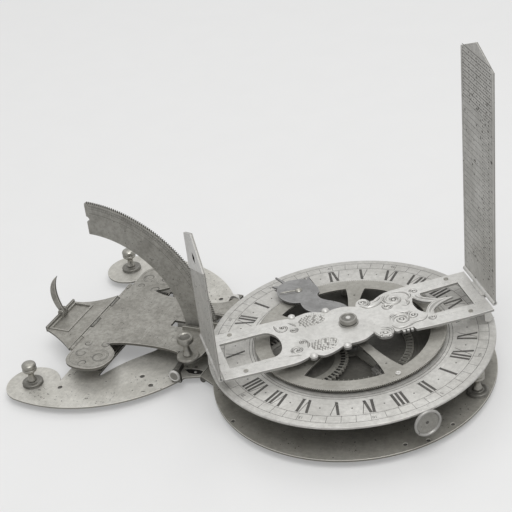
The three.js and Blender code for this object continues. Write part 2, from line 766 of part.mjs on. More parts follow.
// Clamp screw with a dished head, on a boss at the corner of the tilting plate
function makeClampScrew() {
  const bossShares = [[0, 0], [1, 0], [0.9, 1], [0, 1]];
  const boss = turned(
    scaledPairs(bossShares, clampBossRadius, clampBossHeight), clampX, clampY, tiltTopZ,
  );
  addPart('clamp_boss', boss, 'brass');
  const neckShares = [[0, 0], [1, 0], [1, 0.06], [0.62, 0.64]];
  const headShares = [[1, 0.76], [0.96, 1], [0.74, 1], [0.3, 0.86], [0, 0.84]];
  const [, headStartShare] = neckShares[neckShares.length - 1];
  const headUnderShare = 0.86;
  const screw = turned([
    ...scaledPairs(neckShares, clampNeckRadius, clampHeight),
    [clampHeadRadius * headUnderShare, clampHeight * headStartShare + fit],
    ...scaledPairs(headShares, clampHeadRadius, clampHeight),
  ], clampX, clampY, tiltTopZ + clampBossHeight + fit);
  addPart('clamp_screw', screw, 'brass');
}

// Upright lugs beside the fold, each with a large round screw head facing outwards
function makePivotScrews() {
  for (const [name, side] of [['front', -1], ['back', 1]]) {
    const inner = side * (pivotY - pivotLugThickness);
    const outer = side * pivotY;
    const low = Math.min(inner, outer);
    const high = Math.max(inner, outer);
    const web = block(pivotX - pivotLugHalf, pivotX + pivotLugHalf, low, high, plateThickness, pivotZ);
    const round = rodY(pivotLugHalf, low, high, pivotX, pivotZ, midFacets);
    addPart(`pivot_lug_${name}`, joined(web, round), 'brass');
    const headEnd = outer + side * pivotHeadThickness;
    const head = rodY(
      pivotHeadRadius, Math.min(outer, headEnd), Math.max(outer, headEnd), pivotX, pivotZ, midFacets,
    );
    addPart(`pivot_screw_${name}`, head, 'brass');
  }
}

// Under plate, pillars and the hour ring
function makeDialBox() {
  addPart('under_plate', disc(underPlateRadius, tiltTopZ, underPlateTopZ, fineFacets), 'brass');
  for (let index = 0; index < pillarCount; index += 1) {
    const place = polar(pillarCircle, pillarStart + 360 * index / pillarCount);
    const pillar = disc(pillarRadius, underPlateTopZ, ringUnderZ, smallFacets, place.x, place.y);
    addPart(`pillar_${index + 1}`, pillar, 'brass');
  }
  addPart('hour_ring', annulus(plateRadius, ringInnerRadius, ringUnderZ, dialTopZ, fineFacets), 'silvered');
}

// Spoked wheel over the ring's inner edge, toothed round its rim
function makeHourWheel() {
  const edge = Array.from({ length: 2 * wheelTeeth }, (_, index) => polar(
    index % 2 === 0 ? wheelRadius : wheelRadius - wheelToothDepth, 180 * index / wheelTeeth,
  ));
  const rimShape = new THREE.Shape(edge);
  rimShape.holes.push(new THREE.Path(ringPoints(wheelRimInner, fineFacets)));
  const pieces = [sheet(rimShape, wheelUnderZ, wheelTopZ)];
  const spokeShares = [0.86, 0.36];
  for (let index = 0; index < spokeCount; index += 1) {
    const spoke = outline([
      [0, -spokeHubWidth / 2],
      [wheelHubRadius * 2, -spokeHubWidth / 2],
      [wheelRimInner * spokeShares[0], -spokeRimWidth * spokeShares[1]],
      [wheelRimInner + fit, -spokeRimWidth / 2],
      [wheelRimInner + fit, spokeRimWidth / 2],
      [wheelRimInner * spokeShares[0], spokeRimWidth * spokeShares[1]],
      [wheelHubRadius * 2, spokeHubWidth / 2],
      [0, spokeHubWidth / 2],
    ]);
    const turn = radians(spokeStart + 360 * index / spokeCount);
    pieces.push(sheet(spoke, wheelUnderZ, wheelTopZ).rotateZ(turn));
  }
  pieces.push(disc(wheelHubRadius, wheelUnderZ, wheelTopZ, midFacets));
  addPart('hour_wheel', joined(...pieces), 'brass');
  const screwPlace = polar((wheelRadius + wheelRimInner) / 2 - fit, spokeStart);
  const screwShares = [[0, 0], [1.35, 0], [1.35, 0.3], [0.8, 0.55], [0, 0.6]];
  const screwPairs = scaledPairs(screwShares, wheelThickness, wheelThickness);
  const screw = turned(screwPairs, screwPlace.x, screwPlace.y, wheelTopZ, smallFacets);
  addPart('wheel_screw', screw, 'silvered');
}

// Arbor with its pinion below the wheel, collar above it, and the nut on top
function makeArbor() {
  const arborUnderZ = crownUnderZ + crownThickness;
  const pinionTop = spurUnderZ + spurThickness;
  const edge = toothedEdge(
    arborGearRadius + spurRise, arborGearRadius - spurDrop, arborTeeth, 0, arborTeeth - 1, spurAngle,
  );
  const gear = sheet(new THREE.Shape(edge), spurUnderZ, pinionTop);
  addPart('arbor', joined(disc(arborRadius, arborUnderZ, wheelUnderZ, midFacets), gear), 'steel');
  const collar = turned([
    [0, 0],
    [collarRadius, 0],
    [collarRadius, collarThickness],
    [arborRadius, collarThickness],
    [arborRadius, alidadeUnderZ - wheelTopZ],
    [0, alidadeUnderZ - wheelTopZ],
  ], 0, 0, wheelTopZ);
  addPart('collar', collar, 'steel');
  const nutShares = [[0, 0], [1, 0], [1, 0.8], [0.9, 1]];
  const nutTopShares = [[1, 0], [1, 0.8], [0.85, 1], [0, 1]];
  const nutBody = turned([
    ...scaledPairs(nutShares, nutRadius, nutHeight),
    ...scaledPairs(nutTopShares, nutTopRadius, nutTopHeight, nutHeight),
  ], 0, 0, alidadeTopZ);
  const top = alidadeTopZ + nutHeight + nutTopHeight;
  const driverSlot = block(-nutRadius, nutRadius, -fit, fit, top - nutTopHeight / 2, top + cutOver);
  addPart('centre_nut', cut(nutBody, driverSlot), 'brass');
}

// Lobed steel hand that turns on the collar under the alidade
function makeSetHand() {
  const hand = new THREE.Shape();
  const lobe = handNeckHalf * 3;
  const headShare = 0.66;
  const headStart = handReach * headShare;
  const waistShares = [0.5, 0.8];
  const lobeShares = [0.9, 1.35, 0.72];
  const bulge = headStart + lobe * waistShares[0];
  const sideRun = (sign) => [
    [handReach * waistShares[0], sign * handNeckHalf * waistShares[1]],
    [headStart, sign * handNeckHalf],
    [headStart, sign * lobe * lobeShares[0]],
    [bulge, sign * lobe * lobeShares[1]],
    [headStart + lobe, sign * lobe * lobeShares[2]],
    [handReach, sign * lobe * lobeShares[0]],
  ];
  const front = sideRun(-1);
  const back = sideRun(1);
  const tipShares = [-0.6, 0.5, 0.9];
  hand.moveTo(0, -handNeckHalf);
  hand.lineTo(...front[0]);
  hand.quadraticCurveTo(...front[1], ...front[2]);
  hand.quadraticCurveTo(...front[3], ...front[4]);
  hand.quadraticCurveTo(...front[5], handReach, handNeckHalf * tipShares[0]);
  hand.lineTo(handPoint, handNeckHalf * tipShares[1]);
  hand.lineTo(handReach, handNeckHalf * tipShares[2]);
  hand.quadraticCurveTo(...back[5], ...back[4]);
  hand.quadraticCurveTo(...back[3], ...back[2]);
  hand.quadraticCurveTo(...back[1], ...back[0]);
  hand.lineTo(0, handNeckHalf);
  const top = handUnderZ + handThickness;
  const arm = sheet(hand, handUnderZ, top, smallFacets / 2);
  const bore = disc(arborRadius + fit, handUnderZ - cutOver, top + cutOver, midFacets);
  const body = cut(joined(arm, disc(handRingRadius, handUnderZ, top, midFacets)), bore);
  addPart('set_hand', body.rotateZ(radians(handAngle)), 'steel');
  const studShare = 0.82;
  const studShares = [[0, 0], [0.42, 0], [0.42, 0.7], [0.3, 1], [0, 1]];
  const headCentre = polar(handReach * studShare, handAngle);
  const stud = turned(
    scaledPairs(studShares, lobe, handThickness), headCentre.x, headCentre.y, top, smallFacets,
  );
  addPart('hand_stud', stud, 'steel');
}

// Crown wheel low on the arbor, with upright teeth that the knob's shaft drives
function makeCrownWheel() {
  const topZ = crownUnderZ + crownThickness;
  const inner = crownRadius - crownHalfWidth;
  const outer = crownRadius + crownHalfWidth;
  const pieces = [annulus(outer, inner, crownUnderZ, topZ, crownTeeth)];
  for (let index = 0; index < crownArmCount; index += 1) {
    const arm = block(0, inner + fit, -crownArmHalf, crownArmHalf, crownUnderZ, topZ);
    pieces.push(arm.rotateZ(radians(90 + 360 * index / crownArmCount)));
  }
  pieces.push(disc(crownHubRadius, crownUnderZ, topZ, midFacets));
  const tipShare = 0.08;
  const rootShare = 0.2;
  const tip = crownPitch * tipShare;
  const root = crownPitch * rootShare;
  const toothTop = crownPitchZ + crownToothRise;
  for (let index = 0; index < crownTeeth; index += 1) {
    const profile = [[-root, topZ - fit], [root, topZ - fit], [tip, toothTop], [-tip, toothTop]];
    const settings = { depth: 2 * crownHalfWidth - 2 * fit, bevelEnabled: false };
    const tooth = new THREE.ExtrudeGeometry(outline(profile), settings);
    tooth.rotateX(Math.PI / 2).rotateZ(Math.PI / 2).translate(inner + fit, 0, 0);
    pieces.push(tooth.rotateZ(radians(360 * index / crownTeeth + driveAngle)));
  }
  addPart('crown_wheel', joined(...pieces), 'brass');
}

// Spur gear that shows through the wheel, on the stud of a cock that reaches in over it
function makeSpurGear() {
  const edge = toothedEdge(spurRadius + spurRise, spurRadius - spurDrop, spurTeeth, 0, spurTeeth - 1);
  const shape = new THREE.Shape(edge);
  shape.holes.push(new THREE.Path(ringPoints(spurStudRadius + pinFit, smallFacets)));
  const gear = sheet(shape, spurUnderZ, spurUnderZ + spurThickness);
  const place = polar(spurCircle, spurAngle);
  gear.rotateZ(radians(spurAngle + 180 + 180 / spurTeeth)).translate(place.x, place.y, 0);
  addPart('spur_gear', gear, 'brass');
  const postX = cockCircle - cockPostLength;
  const arm = block(
    spurCircle - cockHalfWidth, cockCircle, -cockHalfWidth, cockHalfWidth,
    cockUnderZ, cockUnderZ + cockThickness,
  );
  const post = block(
    postX, cockCircle, -cockHalfWidth, cockHalfWidth, underPlateTopZ, cockUnderZ + cockThickness / 2,
  );
  const stud = disc(spurStudRadius, spurUnderZ, cockUnderZ + cockThickness / 2, smallFacets, spurCircle);
  addPart('gear_cock', joined(arm, post, stud).rotateZ(radians(spurAngle)), 'brass');
}

// Drive knob on a level shaft that points to the dial's centre, with leaves at its inner end
function makeDriveKnob() {
  const mount = new THREE.Group();
  mount.rotation.z = radians(driveAngle);
  part.add(mount);
  const innerEnd = crownRadius - leafLength / 2;
  const facing = (pairs, fromX) => {
    const points = pairs.map((pair) => new THREE.Vector2(pair[0], pair[1]));
    const lathe = new THREE.LatheGeometry(points, midFacets);
    return lathe.rotateZ(-Math.PI / 2).translate(fromX, 0, knobZ);
  };
  const knobShares = [[0, 0], [1, 0], [1, 0.8], [0.9, 1], [0.78, 0.8], [0, 0.8]];
  const knob = facing(scaledPairs(knobShares, knobRadius, knobThickness), knobCircle);
  const shaftLength = knobCircle - innerEnd;
  const shaft = facing([
    [0, 0],
    [knobShaftRadius, 0],
    [knobShaftRadius, shaftLength + fit],
    [0, shaftLength + fit],
  ], innerEnd);
  const leafEdge = toothedEdge(
    leafPitchRadius + crownToothRise, leafPitchRadius - crownToothDrop, leafCount, 0, leafCount - 1,
  );
  const leafSettings = { depth: leafLength, bevelEnabled: false };
  const leaves = new THREE.ExtrudeGeometry(new THREE.Shape(leafEdge), leafSettings);
  leaves.rotateX(Math.PI / 2).rotateZ(Math.PI / 2).translate(innerEnd, 0, knobZ);
  addPart('drive_knob', joined(knob, shaft, leaves), 'brass', mount);
  const blockHalf = knobShaftRadius * 2;
  const bearing = block(
    bearingCircle - blockHalf, bearingCircle, -blockHalf, blockHalf, underPlateTopZ, ringUnderZ,
  );
  const bore = facing([
    [0, 0],
    [knobShaftRadius + pinFit, 0],
    [knobShaftRadius + pinFit, blockHalf * 3],
    [0, blockHalf * 3],
  ], bearingCircle - blockHalf * 2);
  addPart('shaft_bearing', cut(bearing, bore), 'brass', mount);
}

// A run of outline points with a round ball at each place named
function ballPoints(along, across, ballRadius, side) {
  const steps = smallFacets / 2;
  const points = [];
  for (let step = 0; step <= steps; step += 1) {
    const place = polar(ballRadius, ballStartAngle - ballSweep * step / steps, along, across);
    points.push([place.x, side * place.y]);
  }
  return points;
}

// One long side of the alidade, from left to right: straight frames and a scrolled middle
function alidadeSide(side) {
  const half = alidadeHalfWidth;
  const shares = [
    [-0.46, 0.96], [-0.4, 0.9], 'ball', [-0.31, 0.9], [-0.2, 0.84], [-0.14, 0.75], 'ball', [-0.06, 0.74],
    [0.02, 0.73], [0.09, 0.68], [0.12, 0.58], 'large', [0.25, 0.68], [0.29, 0.78], [0.33, 0.9], [0.38, 0.97],
    [0.43, 0.98], [0.47, 0.88], [0.52, 0.7], 'ball', [0.6, 0.78], [0.66, 0.9], [0.72, 0.96],
  ];
  const points = [[-alidadeHalfLength, side * half]];
  shares.forEach((entry, index) => {
    if (Array.isArray(entry)) {
      points.push([entry[0] * alidadeHalfLength, side * entry[1] * half]);
      return;
    }
    const before = shares[index - 1];
    const after = shares[index + 1];
    const along = (before[0] + after[0]) / 2 * alidadeHalfLength;
    const radius = (after[0] - before[0]) / 2 * alidadeHalfLength;
    points.push(...ballPoints(along, (before[1] + after[1]) / 2 * half, radius * 0.9, side));
  });
  points.push([alidadeHalfLength, side * half]);
  return points;
}

function alidadeShape() {
  return outline([...alidadeSide(-1), ...alidadeSide(1).reverse()]);
}

// Window with a rounded inner end
function leftWindowShape() {
  const low = windowShift - windowHalf;
  const high = windowShift + windowHalf;
  const straight = leftWindowInner + windowHalf / 2;
  const shape = new THREE.Shape();
  shape.moveTo(-leftWindowOuter, low);
  shape.lineTo(-straight, low);
  const ease = windowHalf / 5;
  shape.bezierCurveTo(-leftWindowInner, low + ease, -leftWindowInner, high - ease, -straight, high);
  shape.lineTo(-leftWindowOuter, high);
  return shape;
}

// Window with two curved horns that meet in a point
function rightWindowShapes() {
  const low = windowShift - windowHalf;
  const high = windowShift + windowHalf;
  const frame = new THREE.Shape();
  frame.moveTo(rightWindowOuter, low);
  frame.lineTo(rightWindowOuter, high);
  frame.lineTo(rightWindowNeck, high);
  const bendX = rightWindowNeck + windowHalf / 4;
  frame.quadraticCurveTo(bendX, windowShift + fit * 3, hornTipX, windowShift + fit);
  frame.lineTo(hornTipX, windowShift - fit);
  frame.quadraticCurveTo(bendX, windowShift - fit * 3, rightWindowNeck, low);
  const lens = new THREE.Shape();
  const lensShare = 0.62;
  const lensBackShare = 0.3;
  const lensX = rightWindowNeck - windowHalf * lensBackShare;
  const lensTop = windowShift + windowHalf * lensShare;
  const lensLow = windowShift - windowHalf * lensShare;
  lens.moveTo(lensX, lensLow);
  lens.quadraticCurveTo(rightWindowNeck + fit, windowShift, lensX, lensTop);
  lens.quadraticCurveTo(rightWindowInner - windowHalf / 4, windowShift, lensX, lensLow);
  return [frame, lens];
}

function makeAlidade(mount) {
  const bar = sheet(alidadeShape(), alidadeUnderZ, alidadeTopZ);
  const cuts = [leftWindowShape(), ...rightWindowShapes()].map((shape) => sheet(
    shape, alidadeUnderZ - cutOver, alidadeTopZ + cutOver, smallFacets,
  ));
  const knuckles = [-1, 1].flatMap((side) => {
    const inner = side * (alidadeHalfLength - vaneBarrelRadius);
    const axisX = side * vaneCircle;
    const web = block(
      Math.min(inner, axisX), Math.max(inner, axisX), -vaneKnuckleHalf, vaneKnuckleHalf,
      alidadeUnderZ, alidadeTopZ + vaneWebRise,
    );
    return [web, rodY(vaneBarrelRadius, -vaneKnuckleHalf, vaneKnuckleHalf, axisX, vaneAxisZ)];
  });
  const bores = [-1, 1].map((side) => rodY(
    pinRadius + pinFit, -leftVaneWidth, leftVaneWidth, side * vaneCircle, vaneAxisZ,
  ));
  addPart('alidade', cut(joined(bar, ...knuckles), ...cuts, ...bores), 'silvered', mount);
  const hookX = alidadeHalfLength - hookWidth;
  const hookShares = [[0, 0], [0, 0.6], [0.7, 0.75], [1, 0.5], [0.7, 0.3], [0.7, 0]];
  const hook = uprightSheet(
    scaledPairs(hookShares, hookWidth, -hookDrop).map(([x, z]) => [hookX + x, alidadeUnderZ + z]),
    -alidadeHalfWidth, -alidadeHalfWidth + hookThickness,
  );
  addPart('edge_hook', hook, 'silvered', mount);
}

// A gabled sight vane on its hinge, built upright at the end of the alidade
function makeVane(name, side, sizes, mount) {
  const tilt = new THREE.Group();
  tilt.position.set(side * vaneCircle, 0, vaneAxisZ);
  tilt.rotation.y = radians(side * sizes.lean);
  mount.add(tilt);
  const frontY = sizes.shift - sizes.width / 2;
  const backY = sizes.shift + sizes.width / 2;
  const foot = vaneBarrelRadius / 2;
  const panel = outline([
    [side * frontY, foot],
    [side * backY, foot],
    [side * backY, sizes.shoulder],
    [side * sizes.shift, sizes.shoulder + sizes.rise],
    [side * frontY, sizes.shoulder],
  ]);
  const settings = { depth: vaneThickness, bevelEnabled: false };
  const plate = new THREE.ExtrudeGeometry(panel, settings).rotateX(Math.PI / 2).rotateZ(side * Math.PI / 2);
  plate.translate(side > 0 ? -fit : fit, 0, 0);
  const knuckleEnd = vaneKnuckleHalf + fit;
  const barrels = [[frontY, -knuckleEnd], [knuckleEnd, backY]].map(([fromY, toY]) => (
    rodY(vaneBarrelRadius, fromY, toY, 0, 0)
  ));
  const middleGap = block(
    -vaneThickness * 2, vaneThickness * 2, -knuckleEnd, knuckleEnd,
    -vaneBarrelRadius, vaneBarrelRadius + 2 * fit,
  );
  const bore = rodY(pinRadius + pinFit, -sizes.width, sizes.width, 0, 0);
  addPart(name, cut(joined(plate, ...barrels), middleGap, bore, ...sizes.cutters), 'silvered', tilt);
  const pin = rodY(pinRadius, frontY, backY, side * vaneCircle, vaneAxisZ);
  addPart(`${name}_pin`, pin, 'steel', mount);
  return tilt;
}

// The low vane's slit and the facing plate round it, on the vane's outer face
function makeSights(mount) {
  const slit = block(
    -cutOver, cutOver, -slitLength / 2, slitLength / 2,
    slitHeight - slitWidth / 2, slitHeight + slitWidth / 2,
  );
  makeVane('right_vane', 1, {
    lean: rightVaneLean, width: rightVaneWidth, shift: rightVaneShift, shoulder: rightVaneShoulder,
    rise: rightGableRise, cutters: [],
  }, mount);
  const leftTilt = makeVane('left_vane', -1, {
    lean: leftVaneLean, width: leftVaneWidth, shift: 0, shoulder: leftVaneShoulder,
    rise: leftGableRise, cutters: [slit],
  }, mount);
  const half = leftVaneWidth / 2;
  const facing = outline([
    [-half, leftVaneShoulder - fit],
    [half, slitPlateBackHeight],
    [half, leftVaneShoulder],
    [0, leftVaneShoulder + leftGableRise],
    [-half, leftVaneShoulder],
  ]);
  const settings = { depth: slitPlateThickness, bevelEnabled: false };
  const plate = new THREE.ExtrudeGeometry(facing, settings).rotateX(Math.PI / 2).rotateZ(Math.PI / 2);
  plate.translate(fit - vaneThickness - slitPlateThickness, 0, 0);
  addPart('slit_plate', cut(plate, slit), 'silvered', leftTilt);
}

makeBasePlate();
makeStandPlate();
makeFoldHinge();
makeCrossBar();
makeRisers();
makePlumbPlate();
makePlumbHorn();
makeLatitudeArc();
makePivotScrews();
for (const [name, side] of [['front', -1], ['back', 1]]) {
  const centre = lobeCentre(side);
  makeScrewBoss(`screw_boss_${name}`, centre.x, centre.y);
  makeLevellingScrew(`screw_${name}`, centre.x, centre.y);
}
makeScrewBoss('screw_boss_right', rightScrewX, rightScrewY);
makeLevellingScrew('screw_right', rightScrewX, rightScrewY);
makeTiltPlate();
makeArcCheeks();
makePinion();
makeClampScrew();
makeDialBox();
makeCrownWheel();
makeSpurGear();
makeDriveKnob();
makeHourWheel();
makeArbor();
makeSetHand();

const alidadeMount = new THREE.Group();
alidadeMount.rotation.z = radians(alidadeAngle);
part.add(alidadeMount);
makeAlidade(alidadeMount);
makeSights(alidadeMount);

export default part;
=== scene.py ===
"""A folding sundial of old brass and steel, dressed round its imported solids.

Sizes are in millimetres in the solids' frame: the dial's axis is Z, its centre is the origin,
and the stand lies at minus X. Each finished piece is brought to metres when it is seated.
"""

import logging
import math
import random
from dataclasses import dataclass, field
from enum import Enum
from functools import cache
from typing import Iterable, Sequence

import bmesh
import bpy
from mathutils import Matrix, Vector


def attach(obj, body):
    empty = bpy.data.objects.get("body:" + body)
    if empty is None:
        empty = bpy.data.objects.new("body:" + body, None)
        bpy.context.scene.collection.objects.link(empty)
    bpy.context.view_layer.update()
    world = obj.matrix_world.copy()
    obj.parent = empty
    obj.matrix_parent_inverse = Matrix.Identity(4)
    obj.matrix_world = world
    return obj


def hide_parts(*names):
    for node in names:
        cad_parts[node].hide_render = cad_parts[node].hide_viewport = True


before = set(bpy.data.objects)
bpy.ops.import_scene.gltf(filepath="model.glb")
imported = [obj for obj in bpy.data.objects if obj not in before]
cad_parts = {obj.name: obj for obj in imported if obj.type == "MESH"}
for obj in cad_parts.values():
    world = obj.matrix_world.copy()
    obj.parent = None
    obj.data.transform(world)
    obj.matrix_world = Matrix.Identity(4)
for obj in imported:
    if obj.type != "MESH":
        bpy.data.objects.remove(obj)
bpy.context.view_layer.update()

LOG = logging.getLogger("sundial")
METRES = 0.001
CREASE = math.radians(20)
SHALLOW = 0.03  # how far an engraved mark reaches below its surface, and most of them above it
FLUSH = 0.02  # how far the finest marks stand out of their surface
Point = tuple[float, float]
Spot = tuple[float, float, float]
Loop = list[Point]
Colour = tuple[float, float, float]
WHITE = (1.0, 1.0, 1.0, 1.0)


class Body(Enum):
    """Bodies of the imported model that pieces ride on."""

    STAND = "stand"
    ROUND = "round_plate"
    TILT = "tilt_frame"
    CLAMP = "clamp"
    KNOB = "knob"
    SPUR = "spur"
    WHEEL = "wheel"
    HAND = "hand"
    HIGH = "high_sight"
    LOW = "low_sight"
    HORN = "horn"
    LEVEL_FRONT = "levelling_front"
    LEVEL_BACK = "levelling_back"
    LEVEL_RIGHT = "levelling_right"


class Grain(Enum):
    """Direction of the tool marks on a finish, as stretches of the pattern along X, Y and Z."""

    ALONG_X = (0.04, 1.0, 1.0)
    ALONG_Y = (1.0, 0.04, 1.0)
    UPRIGHT = (1.0, 1.0, 0.04)
    ROUND = (0.0, 0.0, 0.0)


# Outlines


def polar(radius: float, degrees: float, centre: Point = (0.0, 0.0)) -> Point:
    """A point at a radius and an angle from +X about a centre."""
    angle = math.radians(degrees)
    return (centre[0] + radius * math.cos(angle), centre[1] + radius * math.sin(angle))


def sweep(radius: float, start: float, end: float, count: int, centre: Point = (0.0, 0.0)) -> Loop:
    """Points along a round edge in a count of steps between two angles, both ends included."""
    return [polar(radius, start + (end - start) * i / count, centre) for i in range(count + 1)]


def circle(radius: float, count: int = 96, centre: Point = (0.0, 0.0)) -> Loop:
    """A full circle of a count of points, the first not repeated."""
    return sweep(radius, 0, 360, count, centre)[:-1]


def oblong(left: float, low: float, right: float, high: float) -> Loop:
    """The four corners of an oblong, from its lower left one round."""
    return [(left, low), (right, low), (right, high), (left, high)]


def bend(points: Sequence[Point], count: int = 12) -> Loop:
    """A Bezier run of three or four control points, without its last point.

    Args:
        points: The control points.
        count: Number of steps.

    Returns:
        The points along it.
    """
    run: Loop = []
    for step in range(count):
        share = step / count
        level = [Vector(point) for point in points]
        while len(level) > 1:
            level = [a.lerp(b, share) for a, b in zip(level, level[1:])]
        run.append((level[0].x, level[0].y))
    return run


def softened(points: Sequence[Point], steps: int = 6, closed: bool = False) -> Loop:
    """A smooth line through points.

    Args:
        points: The points that it passes.
        steps: Number of steps between two points.
        closed: Whether the line returns to its start.

    Returns:
        The points along it.
    """
    pts = [Vector(point) for point in points]
    count = len(pts)
    run: Loop = []
    for index in range(count if closed else count - 1):
        if closed:
            before, start, end, after = (pts[(index + shift) % count] for shift in (-1, 0, 1, 2))
        else:
            before, start = pts[max(index - 1, 0)], pts[index]
            end, after = pts[index + 1], pts[min(index + 2, count - 1)]
        for step in range(steps):
            t = step / steps
            spot = 0.5 * (
                2 * start
                + (end - before) * t
                + (2 * before - 5 * start + 4 * end - after) * t * t
                + (3 * start - before - 3 * end + after) * t ** 3
            )
            run.append((spot.x, spot.y))
    if not closed:
        run.append((pts[-1].x, pts[-1].y))
    return run


def toothed(tip: float, root: float, teeth: float, first: int, last: int) -> Loop:
    """The edge of a gear between two teeth.

    Args:
        tip: Radius of the tooth tips.
        root: Radius of the gaps.
        teeth: Teeth in a full turn.
        first: Number of the first tooth.
        last: Number of the last tooth.

    Returns:
        The points in order.
    """
    shares = ((-0.36, root), (-0.15, tip), (0.15, tip), (0.36, root))
    pitch = 360 / teeth
    return [
        polar(radius, (tooth + share) * pitch)
        for tooth in range(first, last + 1)
        for share, radius in shares
    ]


def cleaned(loop: Loop, near: float = 0.03) -> Loop:
    """A loop without points that lie on the one before.

    Args:
        loop: The points.
        near: Distance below which a point is left out.

    Returns:
        The points that remain.
    """
    kept = [loop[0]]
    for spot in loop[1:]:
        if math.dist(spot, kept[-1]) > near:
            kept.append(spot)
    return kept if math.dist(kept[0], kept[-1]) > near else kept[:-1]


def moved(loop: Iterable[Point], by: Point = (0.0, 0.0), turn: float = 0.0) -> Loop:
    """A loop turned about the origin by degrees and then shifted."""
    c, s = math.cos(math.radians(turn)), math.sin(math.radians(turn))
    return [(x * c - y * s + by[0], x * s + y * c + by[1]) for x, y in loop]


# Meshes


def raw_mesh(verts: Sequence[Sequence[float]], faces: Sequence[Sequence[int]]) -> bpy.types.Mesh:
    """A mesh of given corners and faces.

    Args:
        verts: The corners.
        faces: The faces, as indices of corners.

    Returns:
        The mesh.
    """
    mesh = bpy.data.meshes.new("shape")
    mesh.from_pydata([tuple(v) for v in verts], [], [tuple(f) for f in faces])
    return mesh


def placed(mesh: bpy.types.Mesh, place: Matrix | None) -> bpy.types.Mesh:
    """A mesh moved to its place, if it has one."""
    if place is not None:
        mesh.transform(place)
    return mesh


def merged(meshes: Iterable[bpy.types.Mesh]) -> bpy.types.Mesh:
    """Several meshes as one.

    Args:
        meshes: The meshes, which are used up.

    Returns:
        The mesh that holds them all.
    """
    whole = bmesh.new()
    for mesh in list(meshes):
        whole.from_mesh(mesh)
        bpy.data.meshes.remove(mesh)
    result = bpy.data.meshes.new("shape")
    whole.to_mesh(result)
    whole.free()
    return result


def evaluated(holder: bpy.types.Object) -> bpy.types.Mesh:
    """What an object looks like after its modifiers or curve settings; the object is removed.

    Args:
        holder: The object.

    Returns:
        A plain mesh.
    """
    bpy.context.scene.collection.objects.link(holder)
    graph = bpy.context.evaluated_depsgraph_get()
    mesh = bpy.data.meshes.new_from_object(holder.evaluated_get(graph))
    bpy.data.objects.remove(holder)
    return mesh


def plate(
    loops: Sequence[Loop], low: float, high: float, bevel: float = 0.15, place: Matrix | None = None
) -> bpy.types.Mesh:
    """A flat piece of an outline with holes, with eased edges.

    Args:
        loops: The outline and then its holes.
        low: Level of its underside.
        high: Level of its top.
        bevel: Size of the eased edge.
        place: Where it goes, if not as drawn.

    Returns:
        A closed mesh.
    """
    curve = bpy.data.curves.new("outline", "CURVE")
    curve.dimensions = "2D"
    curve.fill_mode = "BOTH"
    for loop in map(cleaned, loops):
        spline = curve.splines.new("POLY")
        spline.points.add(len(loop) - 1)
        spline.points.foreach_set("co", [n for x, y in loop for n in (x, y, 0.0, 1.0)])
        spline.use_cyclic_u = True
    curve.extrude = (high - low) / 2 - bevel
    curve.bevel_depth = bevel
    curve.bevel_resolution = 1
    curve.offset = -bevel
    mesh = evaluated(bpy.data.objects.new("outline", curve))
    bpy.data.curves.remove(curve)
    mesh.transform(Matrix.Translation((0, 0, (high + low) / 2)))
    shape = bmesh.new()
    shape.from_mesh(mesh)
    doubled, level, steep = 0.002, 0.985, 0.15  # distance of double points, slopes of top and wall
    bmesh.ops.remove_doubles(shape, verts=shape.verts, dist=doubled)
    bmesh.ops.dissolve_degenerate(shape, edges=shape.edges, dist=doubled / 2)
    bmesh.ops.recalc_face_normals(shape, faces=shape.faces)
    shape.to_mesh(mesh)
    shape.free()
    # Face kinds for the finishes' painted light: 0 on tops, 1 on eased edges for a painted highlight, -1 on
    # walls for painted shade.
    rim = mesh.attributes.new("rim", "FLOAT", "FACE")
    slope = [abs(face.normal.z) for face in mesh.polygons]
    rim.data.foreach_set("value", [0.0 if z > level else 1.0 if z > steep else -1.0 for z in slope])
    return placed(mesh, place)


def turned(
    profile: Sequence[Point], place: Matrix | None = None, facets: int = 64, ease: float = 0.12
) -> bpy.types.Mesh:
    """A piece turned about Z, with eased corners.

    Args:
        profile: Pairs of radius and height, from the axis or a bore and back to it.
        place: Where it goes.
        facets: Number of facets round it.
        ease: Size of the eased corners.

    Returns:
        A closed mesh.
    """
    eased: list[Point] = []
    tiny, longest = 1e-6, 0.35  # no length at all, and the largest share of a side that is eased
    bored = profile[0][0] > 0
    pts = [Vector(pair) for pair in profile]
    for index, spot in enumerate(pts):
        ends = not bored and index in (0, len(pts) - 1)
        before, after = pts[index - 1], pts[(index + 1) % len(pts)]
        if ends or spot.x <= 0:
            eased.append((spot.x, spot.y))
            continue
        sharp = (spot - before).angle(after - spot, 0.0) > CREASE
        for other in (before, after) if sharp else ():
            span = other - spot
            pulled = spot + span * min(ease / max(span.length, tiny), longest)
            eased.append((pulled.x, pulled.y))
        if not sharp:
            eased.append((spot.x, spot.y))
    verts: list[Spot] = []
    rings: list[list[int]] = []
    for radius, height in eased:
        if radius <= tiny:
            rings.append([len(verts)] * facets)
            verts.append((0.0, 0.0, height))
            continue
        rings.append(list(range(len(verts), len(verts) + facets)))
        verts += [(*polar(radius, 360 * i / facets), height) for i in range(facets)]
    pairs = list(zip(rings, rings[1:])) + ([(rings[-1], rings[0])] if bored else [])
    faces = []
    for lower, upper in pairs:
        for i in range(facets):
            j = (i + 1) % facets
            corner = list(dict.fromkeys((lower[i], lower[j], upper[j], upper[i])))
            if len(corner) > 2:
                faces.append(corner)
    return placed(raw_mesh(verts, faces), place)


def stretched(shares: Iterable[Point], radius: float, height: float) -> Loop:
    """A profile of a radius and a height, drawn as shares of them."""
    return [(radius * across, height * up) for across, up in shares]


def at(x: float = 0.0, y: float = 0.0, z: float = 0.0) -> Matrix:
    """A plain shift along X, Y and Z."""
    return Matrix.Translation((x, y, z))


def spin(degrees: float, axis: str = "Z") -> Matrix:
    """A turn about an axis."""
    return Matrix.Rotation(math.radians(degrees), 4, axis)


